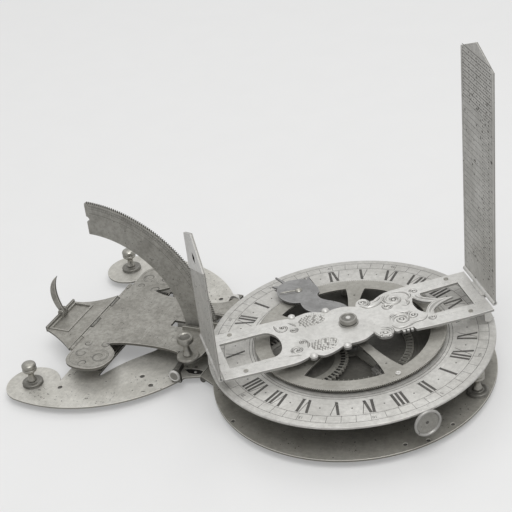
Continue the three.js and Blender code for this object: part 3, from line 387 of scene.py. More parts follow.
def disc(
    radius: float, low: float, high: float, place: Matrix | None = None, facets: int = 20, ease: float = 0.0
) -> bpy.types.Mesh:
    """A plain round disc about Z, from a low to a high level, as turned makes it."""
    return turned([(0, low), (radius, low), (radius, high), (0, high)], place, facets, ease)


def prism(edge: Loop, low: float, high: float) -> bpy.types.Mesh:
    """An upright block over an outline, its edges sharp.

    Args:
        edge: The outline.
        low: Level of its underside.
        high: Level of its top.

    Returns:
        A closed mesh.
    """
    count = len(edge)
    verts = [(x, y, z) for z in (low, high) for x, y in edge]
    sides = [(i, (i + 1) % count, (i + 1) % count + count, i + count) for i in range(count)]
    return raw_mesh(verts, [range(count)[::-1], range(count, 2 * count), *sides])


def rod(radius: float, start: Sequence[float], end: Sequence[float]) -> bpy.types.Mesh:
    """A round bar between two points.

    Args:
        radius: Its radius.
        start: Centre of one end.
        end: Centre of the other end.

    Returns:
        A closed mesh.
    """
    line = Vector(end) - Vector(start)
    turn = line.to_track_quat("Z", "Y").to_matrix().to_4x4()
    return disc(radius, 0, line.length, Matrix.Translation(start) @ turn, 32, radius * 0.2)


def ridge(
    line: Sequence[Point], width: float, height: float, level: float, taper: float = 0.5, sides: int = 5
) -> bpy.types.Mesh:
    """A rounded ridge along a line, thin at its ends, as carving or as a cut line.

    Args:
        line: The points that it follows.
        width: Its full width.
        height: Its height over the surface.
        level: Level of the surface.
        taper: Share of its length that thins out at each end.
        sides: Number of steps over its back.

    Returns:
        A closed mesh.
    """
    count = len(line)
    verts, faces = [], []
    for index, spot in enumerate(line):
        ahead, behind = line[min(index + 1, count - 1)], line[max(index - 1, 0)]
        way = (Vector(ahead) - Vector(behind)).normalized()
        share = index / (count - 1)
        swell = min(1.0, min(share, 1 - share) / max(taper, 1e-6))
        half = width / 2 * (0.12 + 0.88 * math.sin(swell * math.pi / 2))
        lift = height * (0.3 + 0.7 * swell)
        for side in range(sides + 1):
            turn = math.pi * side / sides
            across = half * math.cos(turn)
            rise = level - SHALLOW + (lift + 0.05) * math.sin(turn)
            verts.append((spot[0] - way.y * across, spot[1] + way.x * across, rise))
    ring = sides + 1
    for index in range(count - 1):
        for side in range(ring):
            nxt = (side + 1) % ring
            a, b = index * ring, (index + 1) * ring
            faces.append((a + side, a + nxt, b + nxt, b + side))
    faces.append(tuple(range(ring)))
    faces.append(tuple(reversed(range((count - 1) * ring, count * ring))))
    return raw_mesh(verts, faces)


def spiral(centre: Point, radius: float, turns: float, start: float, tight: float = 0.16) -> Loop:
    """The line of a scroll that winds in to a centre.

    Args:
        centre: Where it winds to.
        radius: Its outer radius.
        turns: Number of turns, minus for the other hand.
        start: Angle of its outer end in degrees.
        tight: Share of the radius left at the inner end.

    Returns:
        The points from the outer end.
    """
    steps = int(18 * abs(turns)) + 6
    shares = [i / steps for i in range(steps + 1)]
    return [
        polar(radius * (1 - share * (1 - tight)), start + 360 * turns * share, centre) for share in shares
    ]


# Repeats made by a rule


def add_node(tree: bpy.types.NodeTree, kind: str, **settings: object) -> bpy.types.Node:
    """A node of a kind, with its settings and with values or sockets for its inputs.

    Args:
        tree: Where it goes.
        kind: Its type name.
        settings: Properties, or what feeds an input under in_ and the input's place or name.

    Returns:
        The node.
    """
    node = tree.nodes.new(kind)
    fed = {name[3:]: value for name, value in settings.items() if name.startswith("in_")}
    for name, value in settings.items():
        if not name.startswith("in_"):
            setattr(node, name, value)
    for key, value in fed.items():
        socket = node.inputs[int(key) if key.isdigit() else key.replace("_", " ")]
        if isinstance(value, bpy.types.NodeSocket):
            tree.links.new(value, socket)
        else:
            socket.default_value = value
    return node


def result(tree: bpy.types.NodeTree, kind: str, **settings: object) -> bpy.types.NodeSocket:
    """First output of a new node, which is made as add_node makes it."""
    return add_node(tree, kind, **settings).outputs[0]


def calc(tree: bpy.types.NodeTree, operation: str, *values: object) -> bpy.types.NodeSocket:
    """Result of a math node that sockets or numbers feed."""
    fed = {f"in_{place}": value for place, value in enumerate(values)}
    return result(tree, "ShaderNodeMath", operation=operation, **fed)


def between(
    tree: bpy.types.NodeTree, value: bpy.types.NodeSocket, low: float, high: float, **settings: object
) -> bpy.types.NodeSocket:
    """A value as a share of the way from a low to a high one, held between nought and one."""
    return result(tree, "ShaderNodeMapRange", in_0=value, in_1=low, in_2=high, **settings)


class Row:
    """Geometry Nodes tree that sets copies of a mark in a ring, a row, or both at once."""

    sizes: tuple[tuple[str, str], ...] = (
        ("Count", "NodeSocketInt"), ("Radius", "NodeSocketFloat"), ("Start", "NodeSocketFloat"),
        ("Step", "NodeSocketFloat"), ("Shift", "NodeSocketVector"), ("Uneven", "NodeSocketFloat"),
        ("Material", "NodeSocketMaterial"),
    )
    seed: int = 7

    @staticmethod
    @cache
    def tree() -> bpy.types.NodeTree:
        """Build the tree at its first use.

        Returns:
            The finished tree.
        """
        tree = bpy.data.node_groups.new("row_of_marks", "GeometryNodeTree")
        vector = "ShaderNodeVectorMath"
        sockets = tree.interface
        sockets.new_socket("Mark", in_out="INPUT", socket_type="NodeSocketGeometry")
        for name, kind in Row.sizes:
            sockets.new_socket(name, in_out="INPUT", socket_type=kind)
        sockets.new_socket("Marks", in_out="OUTPUT", socket_type="NodeSocketGeometry")
        given = add_node(tree, "NodeGroupInput").outputs
        line = result(tree, "GeometryNodeMeshLine", in_Count=given["Count"])
        index = result(tree, "GeometryNodeInputIndex")
        angle = calc(tree, "MULTIPLY_ADD", index, given["Step"], given["Start"])
        circle_x = calc(tree, "MULTIPLY", calc(tree, "COSINE", angle), given["Radius"])
        circle_y = calc(tree, "MULTIPLY", calc(tree, "SINE", angle), given["Radius"])
        spot = result(tree, "ShaderNodeCombineXYZ", in_0=circle_x, in_1=circle_y)
        along = result(tree, vector, operation="SCALE", in_0=given["Shift"], in_Scale=index)
        total = result(tree, vector, operation="ADD", in_0=spot, in_1=along)
        points = result(tree, "GeometryNodeSetPosition", in_Geometry=line, in_Position=total)
        turn = result(tree, "ShaderNodeCombineXYZ", in_2=angle)
        turn = result(tree, "FunctionNodeEulerToRotation", in_0=turn)
        chance = add_node(tree, "FunctionNodeRandomValue", data_type="FLOAT", in_Seed=Row.seed)
        least, most = (socket for socket in chance.inputs if socket.type == "VALUE" and socket.enabled)
        tree.links.new(calc(tree, "SUBTRACT", 1.0, given["Uneven"]), least)
        most.default_value = 1.0
        value = next(socket for socket in chance.outputs if socket.type == "VALUE" and socket.enabled)
        scale = result(tree, "ShaderNodeCombineXYZ", in_0=value, in_1=value, in_2=1.0)
        copies = result(
            tree, "GeometryNodeInstanceOnPoints", in_Points=points, in_Instance=given["Mark"],
            in_Rotation=turn, in_Scale=scale,
        )
        real = result(tree, "GeometryNodeRealizeInstances", in_0=copies)
        dressed = result(tree, "GeometryNodeSetMaterial", in_Geometry=real, in_Material=given["Material"])
        add_node(tree, "NodeGroupOutput", in_0=dressed)
        return tree


def row(
    mark: bpy.types.Mesh, finish: "Finish", count: int, radius: float = 0.0, start: float = 0.0,
    step: float = 0.0, shift: Sequence[float] = (0.0, 0.0, 0.0), uneven: float = 0.0,
) -> bpy.types.Mesh:
    """Copies of a mark in a ring or a row.

    Args:
        mark: The mark, drawn at the origin with its length along X.
        finish: Its finish.
        count: Number of copies.
        radius: Radius of the ring, or nought.
        start: Angle of the first copy in degrees.
        step: Angle from one copy to the next in degrees.
        shift: Shift from one copy to the next.
        uneven: Share by which a copy may be smaller.

    Returns:
        One plain mesh.
    """
    holder = bpy.data.objects.new("marks", mark)
    modifier = holder.modifiers.new("marks", "NODES")
    modifier.node_group = Row.tree()
    values = {
        "Count": count, "Radius": radius, "Start": math.radians(start), "Step": math.radians(step),
        "Shift": tuple(shift), "Uneven": uneven, "Material": finish.material(),
    }
    for socket in Row.tree().interface.items_tree:
        if socket.item_type == "SOCKET" and socket.name in values:
            modifier[socket.identifier] = values[socket.name]
    result = evaluated(holder)
    bpy.data.meshes.remove(mark)
    return result


# Finishes


class Effect:
    """Shader node groups that several finishes share, each built at its first use."""

    @staticmethod
    def start(
        name: str, sizes: Sequence[str], masks: Sequence[str]
    ) -> tuple[bpy.types.NodeTree, bpy.types.NodeOutputs]:
        """An empty group that takes coordinates and sizes, and gives masks.

        Args:
            name: Name of the group.
            sizes: Names of the sizes.
            masks: Names of the masks.

        Returns:
            The group and what its input node gives.
        """
        tree = bpy.data.node_groups.new(name, "ShaderNodeTree")
        tree.interface.new_socket("Vector", in_out="INPUT", socket_type="NodeSocketVector")
        for way, labels in (("INPUT", sizes), ("OUTPUT", masks)):
            for label in labels:
                tree.interface.new_socket(label, in_out=way, socket_type="NodeSocketFloat")
        return tree, add_node(tree, "NodeGroupInput").outputs

    @staticmethod
    @cache
    def clouds() -> bpy.types.NodeTree:
        """Broad uneven tarnish, with smaller stains in it.

        Returns:
            The group.
        """
        tree, given = Effect.start("tarnish_clouds", ("Scale",), ("Mask",))
        broad = result(
            tree, "ShaderNodeTexNoise", in_Vector=given["Vector"], in_Scale=given["Scale"], in_Detail=7.0,
            in_Roughness=0.62, in_Distortion=0.4,
        )
        spread = between(tree, broad, 0.34, 0.68, interpolation_type="SMOOTHSTEP")
        add_node(tree, "NodeGroupOutput", in_Mask=spread)
        return tree

    @staticmethod
    @cache
    def specks() -> bpy.types.NodeTree:
        """Small dark corrosion spots, in patches.

        Returns:
            The group.
        """
        tree, given = Effect.start("corrosion_specks", ("Scale", "Size"), ("Mask",))
        place = given["Vector"]
        cells = add_node(tree, "ShaderNodeTexVoronoi", feature="F1", in_Vector=place, in_Scale=given["Scale"])
        patches = result(tree, "ShaderNodeTexNoise", in_Vector=place, in_Scale=90.0, in_Detail=3.0)
        cell_size = result(tree, "ShaderNodeSeparateColor", in_0=cells.outputs["Color"])
        reach = calc(tree, "POWER", cell_size, 2.5)
        reach = calc(tree, "MULTIPLY", reach, between(tree, patches, 0.42, 0.72))
        limit = calc(tree, "MULTIPLY", reach, given["Size"])
        inside = calc(tree, "SUBTRACT", limit, cells.outputs["Distance"])
        add_node(tree, "NodeGroupOutput", in_Mask=between(tree, inside, -0.02, 0.1))
        return tree

    @staticmethod
    @cache
    def tool_marks() -> bpy.types.NodeTree:
        """Fine marks of filing or turning, and a few longer scratches.

        Returns:
            The group.
        """
        tree, given = Effect.start("tool_marks", ("Scale",), ("Marks", "Scratches"))
        place, scale = given["Vector"], given["Scale"]
        fine = result(
            tree, "ShaderNodeTexNoise", in_Vector=place, in_Scale=scale, in_Detail=4.0, in_Roughness=0.7
        )
        wide = calc(tree, "MULTIPLY", scale, 0.16)
        lines = result(
            tree, "ShaderNodeTexNoise", in_Vector=place, in_Scale=wide, in_Detail=2.0, in_Distortion=1.5
        )
        add_node(tree, "NodeGroupOutput", in_Marks=fine, in_Scratches=between(tree, lines, 0.66, 0.72))
        return tree


@dataclass(frozen=True)
class Finish:
    """A worn metal finish: two tones, spots, tool marks, painted wall shade and painted edge highlights."""

    name: str
    slot: str
    pale: Colour
    deep: Colour
    roughness: float = 0.42
    metal: float = 0.62
    cloud_scale: float = 55.0
    cloud_share: float = 0.6
    grain_share: float = 0.22
    mottle_share: float = 0.34
    mottle_scale: float = 480.0
    speck_scale: float = 900.0
    speck_size: float = 0.35
    speck_tone: Colour = (0.05, 0.045, 0.04)
    grain: Grain = Grain.ALONG_X
    grain_scale: float = 3500.0
    bump: float = 0.25
    # The next three fields: the tone of the painted highlight on eased edges, which the scratches also take,
    # the share of that painted highlight, and the share of painted shade on upright walls.
    highlight_and_scratch_tone: Colour = (0.8, 0.78, 0.72)
    edge_highlight_share: float = 0.5
    wall_shade_share: float = 0.9
    scratch_share: float = 0.1
    speck_share: float = 0.85
    centre: Spot = (0.0, 0.0, 0.0)

    def material(self) -> bpy.types.Material:
        """The finish's material, built at its first use."""
        found = bpy.data.materials.get(self.name)
        return found if found is not None else self._build()

    def _grain_vector(self, tree: bpy.types.NodeTree, place: bpy.types.NodeSocket) -> bpy.types.NodeSocket:
        """Coordinates in which the tool marks run the right way.

        Args:
            tree: The material's tree.
            place: Object coordinates.

        Returns:
            The vector for the marks.
        """
        math_kind = "ShaderNodeVectorMath"
        if self.grain is not Grain.ROUND:
            return result(tree, math_kind, operation="MULTIPLY", in_0=place, in_1=self.grain.value)
        flat = result(tree, math_kind, operation="MULTIPLY", in_0=place, in_1=(1.0, 1.0, 0.0))
        reach = add_node(tree, math_kind, operation="LENGTH", in_0=flat).outputs["Value"]
        gather = result(tree, "ShaderNodeCombineXYZ", in_0=reach)
        slow = (0.02, 0.02, 1.0)
        return result(tree, math_kind, operation="MULTIPLY_ADD", in_0=place, in_1=slow, in_2=gather)

    def _build(self) -> bpy.types.Material:
        """Build the material.

        Returns:
            The material.
        """
        material = bpy.data.materials.new(self.name)
        material.use_nodes = True
        tree = material.node_tree
        coords = add_node(tree, "ShaderNodeTexCoord").outputs["Object"]
        shift = [-METRES * n for n in self.centre]
        place = result(tree, "ShaderNodeMapping", in_Vector=coords, in_Location=shift)
        group = "ShaderNodeGroup"
        clouds = result(tree, group, node_tree=Effect.clouds(), in_Vector=place, in_Scale=self.cloud_scale)
        specks = result(
            tree, group, node_tree=Effect.specks(), in_Vector=place, in_Scale=self.speck_scale,
            in_Size=self.speck_size,
        )
        marks, scratches = add_node(
            tree, group, node_tree=Effect.tool_marks(), in_Vector=self._grain_vector(tree, place),
            in_Scale=self.grain_scale,
        ).outputs
        mottle = result(
            tree, "ShaderNodeTexNoise", in_Vector=place, in_Scale=self.mottle_scale, in_Detail=6.0,
            in_Roughness=0.72,
        )
        spots, lines = between(tree, mottle, 0.4, 0.64), between(tree, marks, 0.36, 0.68)
        # Face kinds from plate(): the last two layers below give walls painted shade and eased edges a
        # painted highlight; the scratches share the highlight's tone.
        edge = add_node(tree, "ShaderNodeAttribute", attribute_name="rim").outputs["Fac"]
        dark = tuple(tone * 0.6 for tone in self.deep)
        tone: object = (*self.pale, 1.0)
        for mask, share, over in (
            (clouds, self.cloud_share, self.deep), (spots, self.mottle_share, dark),
            (lines, self.grain_share, dark), (scratches, self.scratch_share, self.highlight_and_scratch_tone),
            (specks, self.speck_share, self.speck_tone), (edge, -self.wall_shade_share, dark),
            (edge, self.edge_highlight_share, self.highlight_and_scratch_tone),
        ):
            amount = calc(tree, "MULTIPLY", mask, share)
            mix = add_node(
                tree, "ShaderNodeMix", data_type="RGBA", in_0=amount, in_6=tone, in_7=(*over, 1.0)
            )
            tone = mix.outputs[2]
        rough = calc(tree, "MULTIPLY_ADD", clouds, 0.14, self.roughness - 0.05)
        rough = calc(tree, "ADD", rough, calc(tree, "MULTIPLY", specks, 0.25))
        height = calc(tree, "SUBTRACT", calc(tree, "MULTIPLY", marks, 0.5), specks)
        bump = result(tree, "ShaderNodeBump", in_Strength=self.bump, in_Distance=0.00006, in_Height=height)
        shader = tree.nodes["Principled BSDF"]
        shader.inputs["Metallic"].default_value = self.metal
        for name, value in (("Base Color", tone), ("Roughness", rough), ("Normal", bump)):
            tree.links.new(value, shader.inputs[name])
        return material


@dataclass(frozen=True)
class CutLine(Finish):
    """Dark wax in engraved lines, and some painted shade and shadows: not metal, a little uneven."""

    cloud_scale: float = 300.0
    speck_size: float = 0.0
    bump: float = 0.1
    edge_highlight_share: float = 0.0

    def _build(self) -> bpy.types.Material:
        """Build the material.

        Returns:
            The material.
        """
        material = super()._build()
        shader = material.node_tree.nodes["Principled BSDF"]
        shader.inputs["Metallic"].default_value = 0.0
        shader.inputs["Specular IOR Level"].default_value = 0.2
        return material


BASE_BRASS = Finish(
    "base_brass", "brass", (0.5, 0.485, 0.44), (0.3, 0.288, 0.25), metal=0.45, speck_size=0.55,
)
STAND_BRASS = Finish(
    "stand_brass", "brass", (0.7, 0.685, 0.635), (0.44, 0.428, 0.385), metal=0.45, speck_size=0.6,
    grain=Grain.ALONG_Y, centre=(-146, 0, 0),
)
FRAME_BRASS = Finish(
    "frame_brass", "brass", (0.43, 0.418, 0.38), (0.25, 0.24, 0.212), metal=0.5, roughness=0.45,
    speck_size=0.45, cloud_scale=80, grain=Grain.ALONG_Y, mottle_share=0.5,
)
ARC_BRASS = Finish(
    "arc_brass", "brass", (0.42, 0.41, 0.378), (0.26, 0.252, 0.226), metal=0.5, roughness=0.45,
    speck_size=0.45, cloud_scale=70, grain=Grain.UPRIGHT, mottle_share=0.45, grain_share=0.1,
)
WHEEL_BRASS = Finish(
    "wheel_brass", "brass", (0.45, 0.438, 0.4), (0.3, 0.29, 0.258), metal=0.55, speck_size=0.3,
    grain=Grain.ROUND,
)
GEAR_BRASS = Finish(
    "gear_brass", "brass", (0.44, 0.43, 0.39), (0.25, 0.242, 0.214), metal=0.4, roughness=0.5,
    speck_size=0.45, grain=Grain.ROUND, edge_highlight_share=0.3,
)
# Dark brass: its low tone is painted shade for the dial's floor inside the dial; the spoke pins share it.
INNER_BRASS = Finish(
    "inner_brass", "brass", (0.2, 0.194, 0.174), (0.1, 0.096, 0.083), metal=0.35, roughness=0.5,
    speck_size=0.5, grain=Grain.ROUND, edge_highlight_share=0.2,
)
SCREW_BRASS = Finish(
    "screw_brass", "brass", (0.5, 0.487, 0.445), (0.3, 0.29, 0.258), metal=0.8, roughness=0.3,
    speck_size=0.35, cloud_scale=160, bump=0.15,
)
RING_SILVER = Finish(
    "ring_silver", "silvered_brass", (0.66, 0.65, 0.62), (0.48, 0.47, 0.44), metal=0.4, roughness=0.46,
    cloud_scale=60, speck_scale=1100, speck_size=0.34, grain=Grain.ROUND, bump=0.16,
)
RULE_SILVER = Finish(
    "rule_silver", "silvered_brass", (0.74, 0.732, 0.705), (0.56, 0.552, 0.525), metal=0.45,
    cloud_scale=90, speck_scale=1100, speck_size=0.26, bump=0.14, highlight_and_scratch_tone=(0.9, 0.89, 0.86),
    mottle_share=0.26, grain_share=0.14,
)
HORN_GROUND = Finish(
    "horn_ground", "silvered_brass", (0.42, 0.412, 0.39), (0.3, 0.292, 0.27), metal=0.4, speck_size=0.2,
)
NUT_BRASS = Finish(
    "nut_brass", "brass", (0.4, 0.39, 0.36), (0.24, 0.232, 0.21), metal=0.6, roughness=0.38,
    speck_size=0.3, grain=Grain.ROUND, highlight_and_scratch_tone=(0.7, 0.69, 0.66),
)
VANE_SILVER = Finish(
    "vane_silver", "silvered_brass", (0.7, 0.69, 0.66), (0.46, 0.452, 0.425), metal=0.5,
    cloud_scale=60, speck_scale=800, speck_size=0.65, grain=Grain.UPRIGHT, grain_share=0.3,
)
# Near-white silver of the slit facing: partly its own silvering, partly a painted reflection on the low
# sight.
FACING_SILVER_AND_REFLECTION = Finish(
    "facing_silver", "silvered_brass", (0.95, 0.945, 0.93), (0.78, 0.77, 0.745), metal=0.55,
    roughness=0.35, cloud_scale=60, speck_scale=800, speck_size=0.3, mottle_share=0.3, wall_shade_share=1.0,
)
KNOB_SILVER = Finish(
    "knob_silver", "silvered_brass", (0.48, 0.472, 0.45), (0.33, 0.323, 0.302), metal=0.5,
    cloud_scale=60, speck_scale=800, speck_size=0.55, grain=Grain.ROUND,
)
STEEL = Finish(
    "dull_steel", "steel", (0.34, 0.338, 0.335), (0.22, 0.218, 0.214), metal=0.5, speck_size=0.4,
    cloud_scale=120, highlight_and_scratch_tone=(0.55, 0.55, 0.55),
)
BOSS_BRASS = Finish(
    "boss_brass", "brass", (0.27, 0.262, 0.238), (0.14, 0.135, 0.12), metal=0.55, roughness=0.4,
    speck_size=0.4, cloud_scale=200, highlight_and_scratch_tone=(0.5, 0.49, 0.46),
)
# Dark finish of the worn pits, and painted shade in the tray's creases.
WORN_AND_SHADE = CutLine(
    "worn_engraving", "dark_steel", (0.2, 0.195, 0.18), (0.13, 0.126, 0.115), roughness=0.5, cloud_scale=200,
)
# Dark wax of the engraving and plugs, and the painted shadow beside the hand's needle.
WAX_AND_SHADOW = CutLine("engraving_wax", "dark_steel", (0.125, 0.12, 0.112), (0.075, 0.072, 0.067), roughness=0.6)
GAP_SHADE = CutLine("gap_shade", "dark_steel", (0.045, 0.043, 0.04), (0.022, 0.021, 0.019), roughness=0.7)
FAINT = CutLine("fine_engraving", "dark_steel", (0.15, 0.145, 0.135), (0.085, 0.082, 0.075), roughness=0.55)


def seat(
    name: str, mesh: bpy.types.Mesh, body: Body, finish: Finish, nodes: Sequence[str] = (),
    place: Matrix | None = None,
) -> bpy.types.Object:
    """Bring a mesh to metres, give it its finish and let it ride on its body.

    Args:
        name: Name of the piece.
        mesh: Its mesh in millimetres.
        body: The body that it rides on.
        finish: Its finish.
        nodes: The solids that it stands for.
        place: A last move, if any.

    Returns:
        The piece.
    """
    placed(mesh, place)
    mesh.transform(Matrix.Scale(METRES, 4))
    shape = bmesh.new()
    shape.from_mesh(mesh)
    bmesh.ops.recalc_face_normals(shape, faces=shape.faces)
    shape.to_mesh(mesh)
    shape.free()
    mesh.materials.clear()
    mesh.materials.append(finish.material())
    mesh.polygons.foreach_set("material_index", [0] * len(mesh.polygons))
    mesh.polygons.foreach_set("use_smooth", [True] * len(mesh.polygons))
    mesh.set_sharp_from_angle(angle=CREASE)
    mesh.update()
    piece = bpy.data.objects.new(name, mesh)
    bpy.context.scene.collection.objects.link(piece)
    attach(piece, body.value)
    if nodes:
        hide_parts(*nodes)
    LOG.info("%s rides on %s, %d faces", name, body.value, len(mesh.polygons))
    return piece


def dress(finish: Finish, *nodes: str) -> None:
    """Give solids that stay in view their finish.

    Args:
        finish: The finish.
        nodes: Names of the solids.
    """
    for node in nodes:
        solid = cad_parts[node]
        solid.data.materials.clear()
        solid.data.materials.append(finish.material())
        LOG.info("%s keeps its solid", node)


def mark_bar(
    length: float, width: float, height: float = SHALLOW, place: Matrix | None = None
) -> bpy.types.Mesh:
    """A short straight mark of a length, a width and a height, drawn along X from the origin."""
    return placed(prism(oblong(0, -width / 2, length, width / 2), -SHALLOW, height), place)


def pits(
    spots: Iterable[Point], size: float, seed: int, clear: Sequence[Point] = (), place: Matrix | None = None
) -> bpy.types.Mesh:
    """Small dark pits of uneven outline in a flat face.

    Args:
        spots: Where they are, in the face's own plane.
        size: Radius of the largest.
        seed: Seed of their sizes and outlines.
        clear: Points that they keep away from.
        place: Where the face's plane is.

    Returns:
        Closed meshes as one.
    """
    chance = random.Random(seed)
    corners, free = 7, 2.6  # corners of a pit, and its least distance to a point kept clear
    marks = []
    for spot in spots:
        reach = size * (0.3 + 0.7 * chance.random() ** 3)
        edge = [polar(reach * chance.uniform(0.7, 1.15), 360 * i / corners, spot) for i in range(corners)]
        if all(math.dist(spot, point) >= free for point in clear):
            marks.append(prism(edge, -SHALLOW, SHALLOW))
    return placed(merged(marks), place)


def scattered(low: Point, high: Point, count: int, seed: int) -> Loop:
    """A count of random points between a lower and an upper corner."""
    chance = random.Random(seed)
    return [(chance.uniform(low[0], high[0]), chance.uniform(low[1], high[1])) for _ in range(count)]


def line_ring(radius: float, width: float, level: float) -> bpy.types.Mesh:
    """A thin engraved circle about the dial's axis.

    Args:
        radius: Its radius.
        width: Width of the line.
        level: Level of the surface that it lies in.

    Returns:
        A closed mesh.
    """
    half = width / 2
    profile = oblong(radius - half, level - SHALLOW, radius + half, level + FLUSH)
    return turned(profile, None, 256, 0.0)


# Base plates and the fold


@dataclass
class BasePlates:
    """Round plate and horseshoe stand plate, with the fold between them."""

    radius: float = 71.0
    thickness: float = 1.2
    fold_x: float = -73.0
    fold_gap: float = 0.15
    tab_half: float = 27.0
    stand_centre: Point = (-146.0, 1.0)
    stand_radius: float = 72.2
    lobe_radius: float = 14.2
    bar_left: float = -144.0
    window_left: float = -126.5
    window_far: float = 40.2
    front_angle: float = -100.6
    back_angle: float = 105.5
    screw_hole: float = 2.0
    right_screw: Point = (65.0, -3.0)
    bevel: float = 0.22
    hole_spots: tuple[Point, ...] = (
        (61.06, -29.11), (44.73, -48.99), (53.96, -43.31), (-40.83, -55.38), (14.2, 63.9),
    )
    wing_spots: tuple[Point, ...] = ((5.112, 54.883), (43.026, 35.003), (51.12, 40.612))
    tab_reach: float = 153.6
    hole: float = 1.0
    wing_hole: float = 1.3
    plug_over: float = 0.05
    floor_top: float = 0.5

    def lobe(self, side: int) -> Point:
        """Centre of a lobe, -1 for the front one and 1 for the back one."""
        angle = self.front_angle if side < 0 else self.back_angle
        return polar(self.stand_radius - self.lobe_radius, angle, self.stand_centre)

    def round_loops(self) -> list[Loop]:
        """Outline and holes of the round plate."""
        edge = self.fold_x + self.fold_gap
        outline = sweep(self.radius, -self.tab_reach, self.tab_reach, 220)
        outline += [(edge, self.tab_half), (edge, -self.tab_half)]
        holes = [circle(self.hole, 20, spot) for spot in self.hole_spots]
        return [outline, *holes, circle(self.screw_hole, 24, self.right_screw)]

    def stand_loops(self) -> list[Loop]:
        """Outline and holes of the stand plate."""
        edge = self.fold_x - self.fold_gap
        front, back = self.lobe(-1), self.lobe(1)
        near = math.degrees(math.acos((self.bar_left - front[0]) / self.lobe_radius))
        outline = sweep(self.lobe_radius, near, 360 + self.front_angle, 60, front)
        spread = math.degrees(math.asin((self.tab_half + 4) / self.stand_radius))
        outline += sweep(self.stand_radius, self.front_angle, -spread, 90, self.stand_centre)[1:]
        outline += [(edge, -self.tab_half), (edge, self.tab_half)]
        outline += sweep(self.stand_radius, spread, self.back_angle, 90, self.stand_centre)
        outline += sweep(self.lobe_radius, self.back_angle, 356, 60, back)[1:]
        outline += [(self.bar_left, back[1] - 1.0)]
        left, far = self.window_left, self.window_far
        shoulder = [(left + 1.6, -far + 0.4), (-120.4, -30.6), (-115.9, -23.6), (-110.8, -17.2)]
        tip = [(-106.4, -10.6), (-104.4, 0.0), (-106.4, 10.6)]
        back_shoulder = [(x, -y) for x, y in reversed(shoulder)]
        window = [(left, -far), *softened([*shoulder, *tip, *back_shoulder], 8), (left, far)]
        holes = [window]
        for side in (-1, 1):
            holes.append(self.hollow(side))
            holes.append(circle(self.screw_hole, 24, self.lobe(side)))
            holes += [circle(self.wing_hole, 20, self.wing_place(spot, side)) for spot in self.wing_spots]
        return [outline, *holes]

    def wing_place(self, spot: Point, side: int) -> Point:
        """Place on the stand plate of a hole in its wings, -1 for the front, 1 for the back."""
        return (self.stand_centre[0] + spot[0], side * spot[1])

    def hollow(self, side: int, grow: float = 0.0) -> Loop:
        """Outline of the sunk place beside the fold.

        Args:
            side: -1 for the front one, 1 for the back one.
            grow: How far the ends are moved outward.

        Returns:
            The outline.
        """
        left, right = -84.4 - grow, -73.9 + grow
        upper = [(left, 23.6), (-81.0, 22.3 - grow), (-76.4, 21.9 - grow), (right, 22.4 - grow)]
        lower = [(right, 25.2 + grow), (-76.5, 26.0 + grow), (-80.4, 25.9 + grow)]
        edge = [(x, side * y) for x, y in [*upper, *lower]]
        return edge if side > 0 else edge[::-1]

    def knuckles(self) -> None:
        """The fold's knuckles and its pin keep their solids."""
        dress(BOSS_BRASS, "stand_knuckle_1", "stand_knuckle_3", "stand_knuckle_5")
        dress(BOSS_BRASS, "base_knuckle_2", "base_knuckle_4")
        dress(STEEL, "fold_pin")

    def fasteners(self) -> None:
        """Rivet heads that hold the knuckle leaves, flush in the plates' tops."""
        profile = [(0, 0), (0.9, 0), (0.9, 0.1), (0, 0.16)]
        pitch = 10.3
        for name, x, body in (("stand_rivets", -79.0, Body.STAND), ("base_rivets", -67.0, Body.ROUND)):
            head = turned(profile, at(x, -2 * pitch, self.thickness - 0.05), 12)
            seat(name, row(head, SCREW_BRASS, 5, shift=(0, pitch, 0)), body, SCREW_BRASS)

    def stains(self) -> bpy.types.Mesh:
        """Small dark slots and crescent marks worn into the stand plate."""
        marks = []
        for spot, length, turn in (
            ((-96.0, -46.7), 2.6, 30), ((-93.8, -41.6), 2.0, 24), ((-103.2, -35.9), 1.6, 40),
            ((-150.2, -60.2), 2.0, 10),
        ):
            half = length / 2
            line = moved(bend([(-half, 0), (0, 0.4), (half, 0)], 8) + [(half, 0)], spot, turn)
            marks.append(ridge(line, 0.9, SHALLOW, self.thickness, 0.4, 3))
        return merged(marks)

    def build(self) -> None:
        """Build and seat the plates."""
        seat("stand_marks", self.stains(), Body.STAND, WAX_AND_SHADOW)
        top = at(0, 0, self.thickness)
        stand = [polar(r, a, self.stand_centre) for r, a in scattered((60, -92), (70, -32), 60, 3)]
        stand += [polar(r, a, self.stand_centre) for r, a in scattered((60, 32), (70, 96), 60, 4)]
        wings = [self.wing_place(spot, side) for spot in self.wing_spots for side in (-1, 1)]
        seat("stand_pits", pits(stand, 0.5, 5, wings, top), Body.STAND, WORN_AND_SHADE)
        crescent = [polar(r, a) for r, a in scattered((42, -150), (69.5, 150), 170, 6)]
        clear = [*self.hole_spots, self.right_screw]
        seat("base_pits", pits(crescent, 0.55, 7, clear, top), Body.ROUND, WORN_AND_SHADE)
        for name, hole, spots, body in (
            ("base_plugs", self.hole, self.hole_spots, Body.ROUND),
            ("stand_plugs", self.wing_hole, wings, Body.STAND),
        ):
            plugs = [disc(hole + self.plug_over, 0.3, 0.7, at(*spot)) for spot in spots]
            seat(name, merged(plugs), body, WAX_AND_SHADOW)
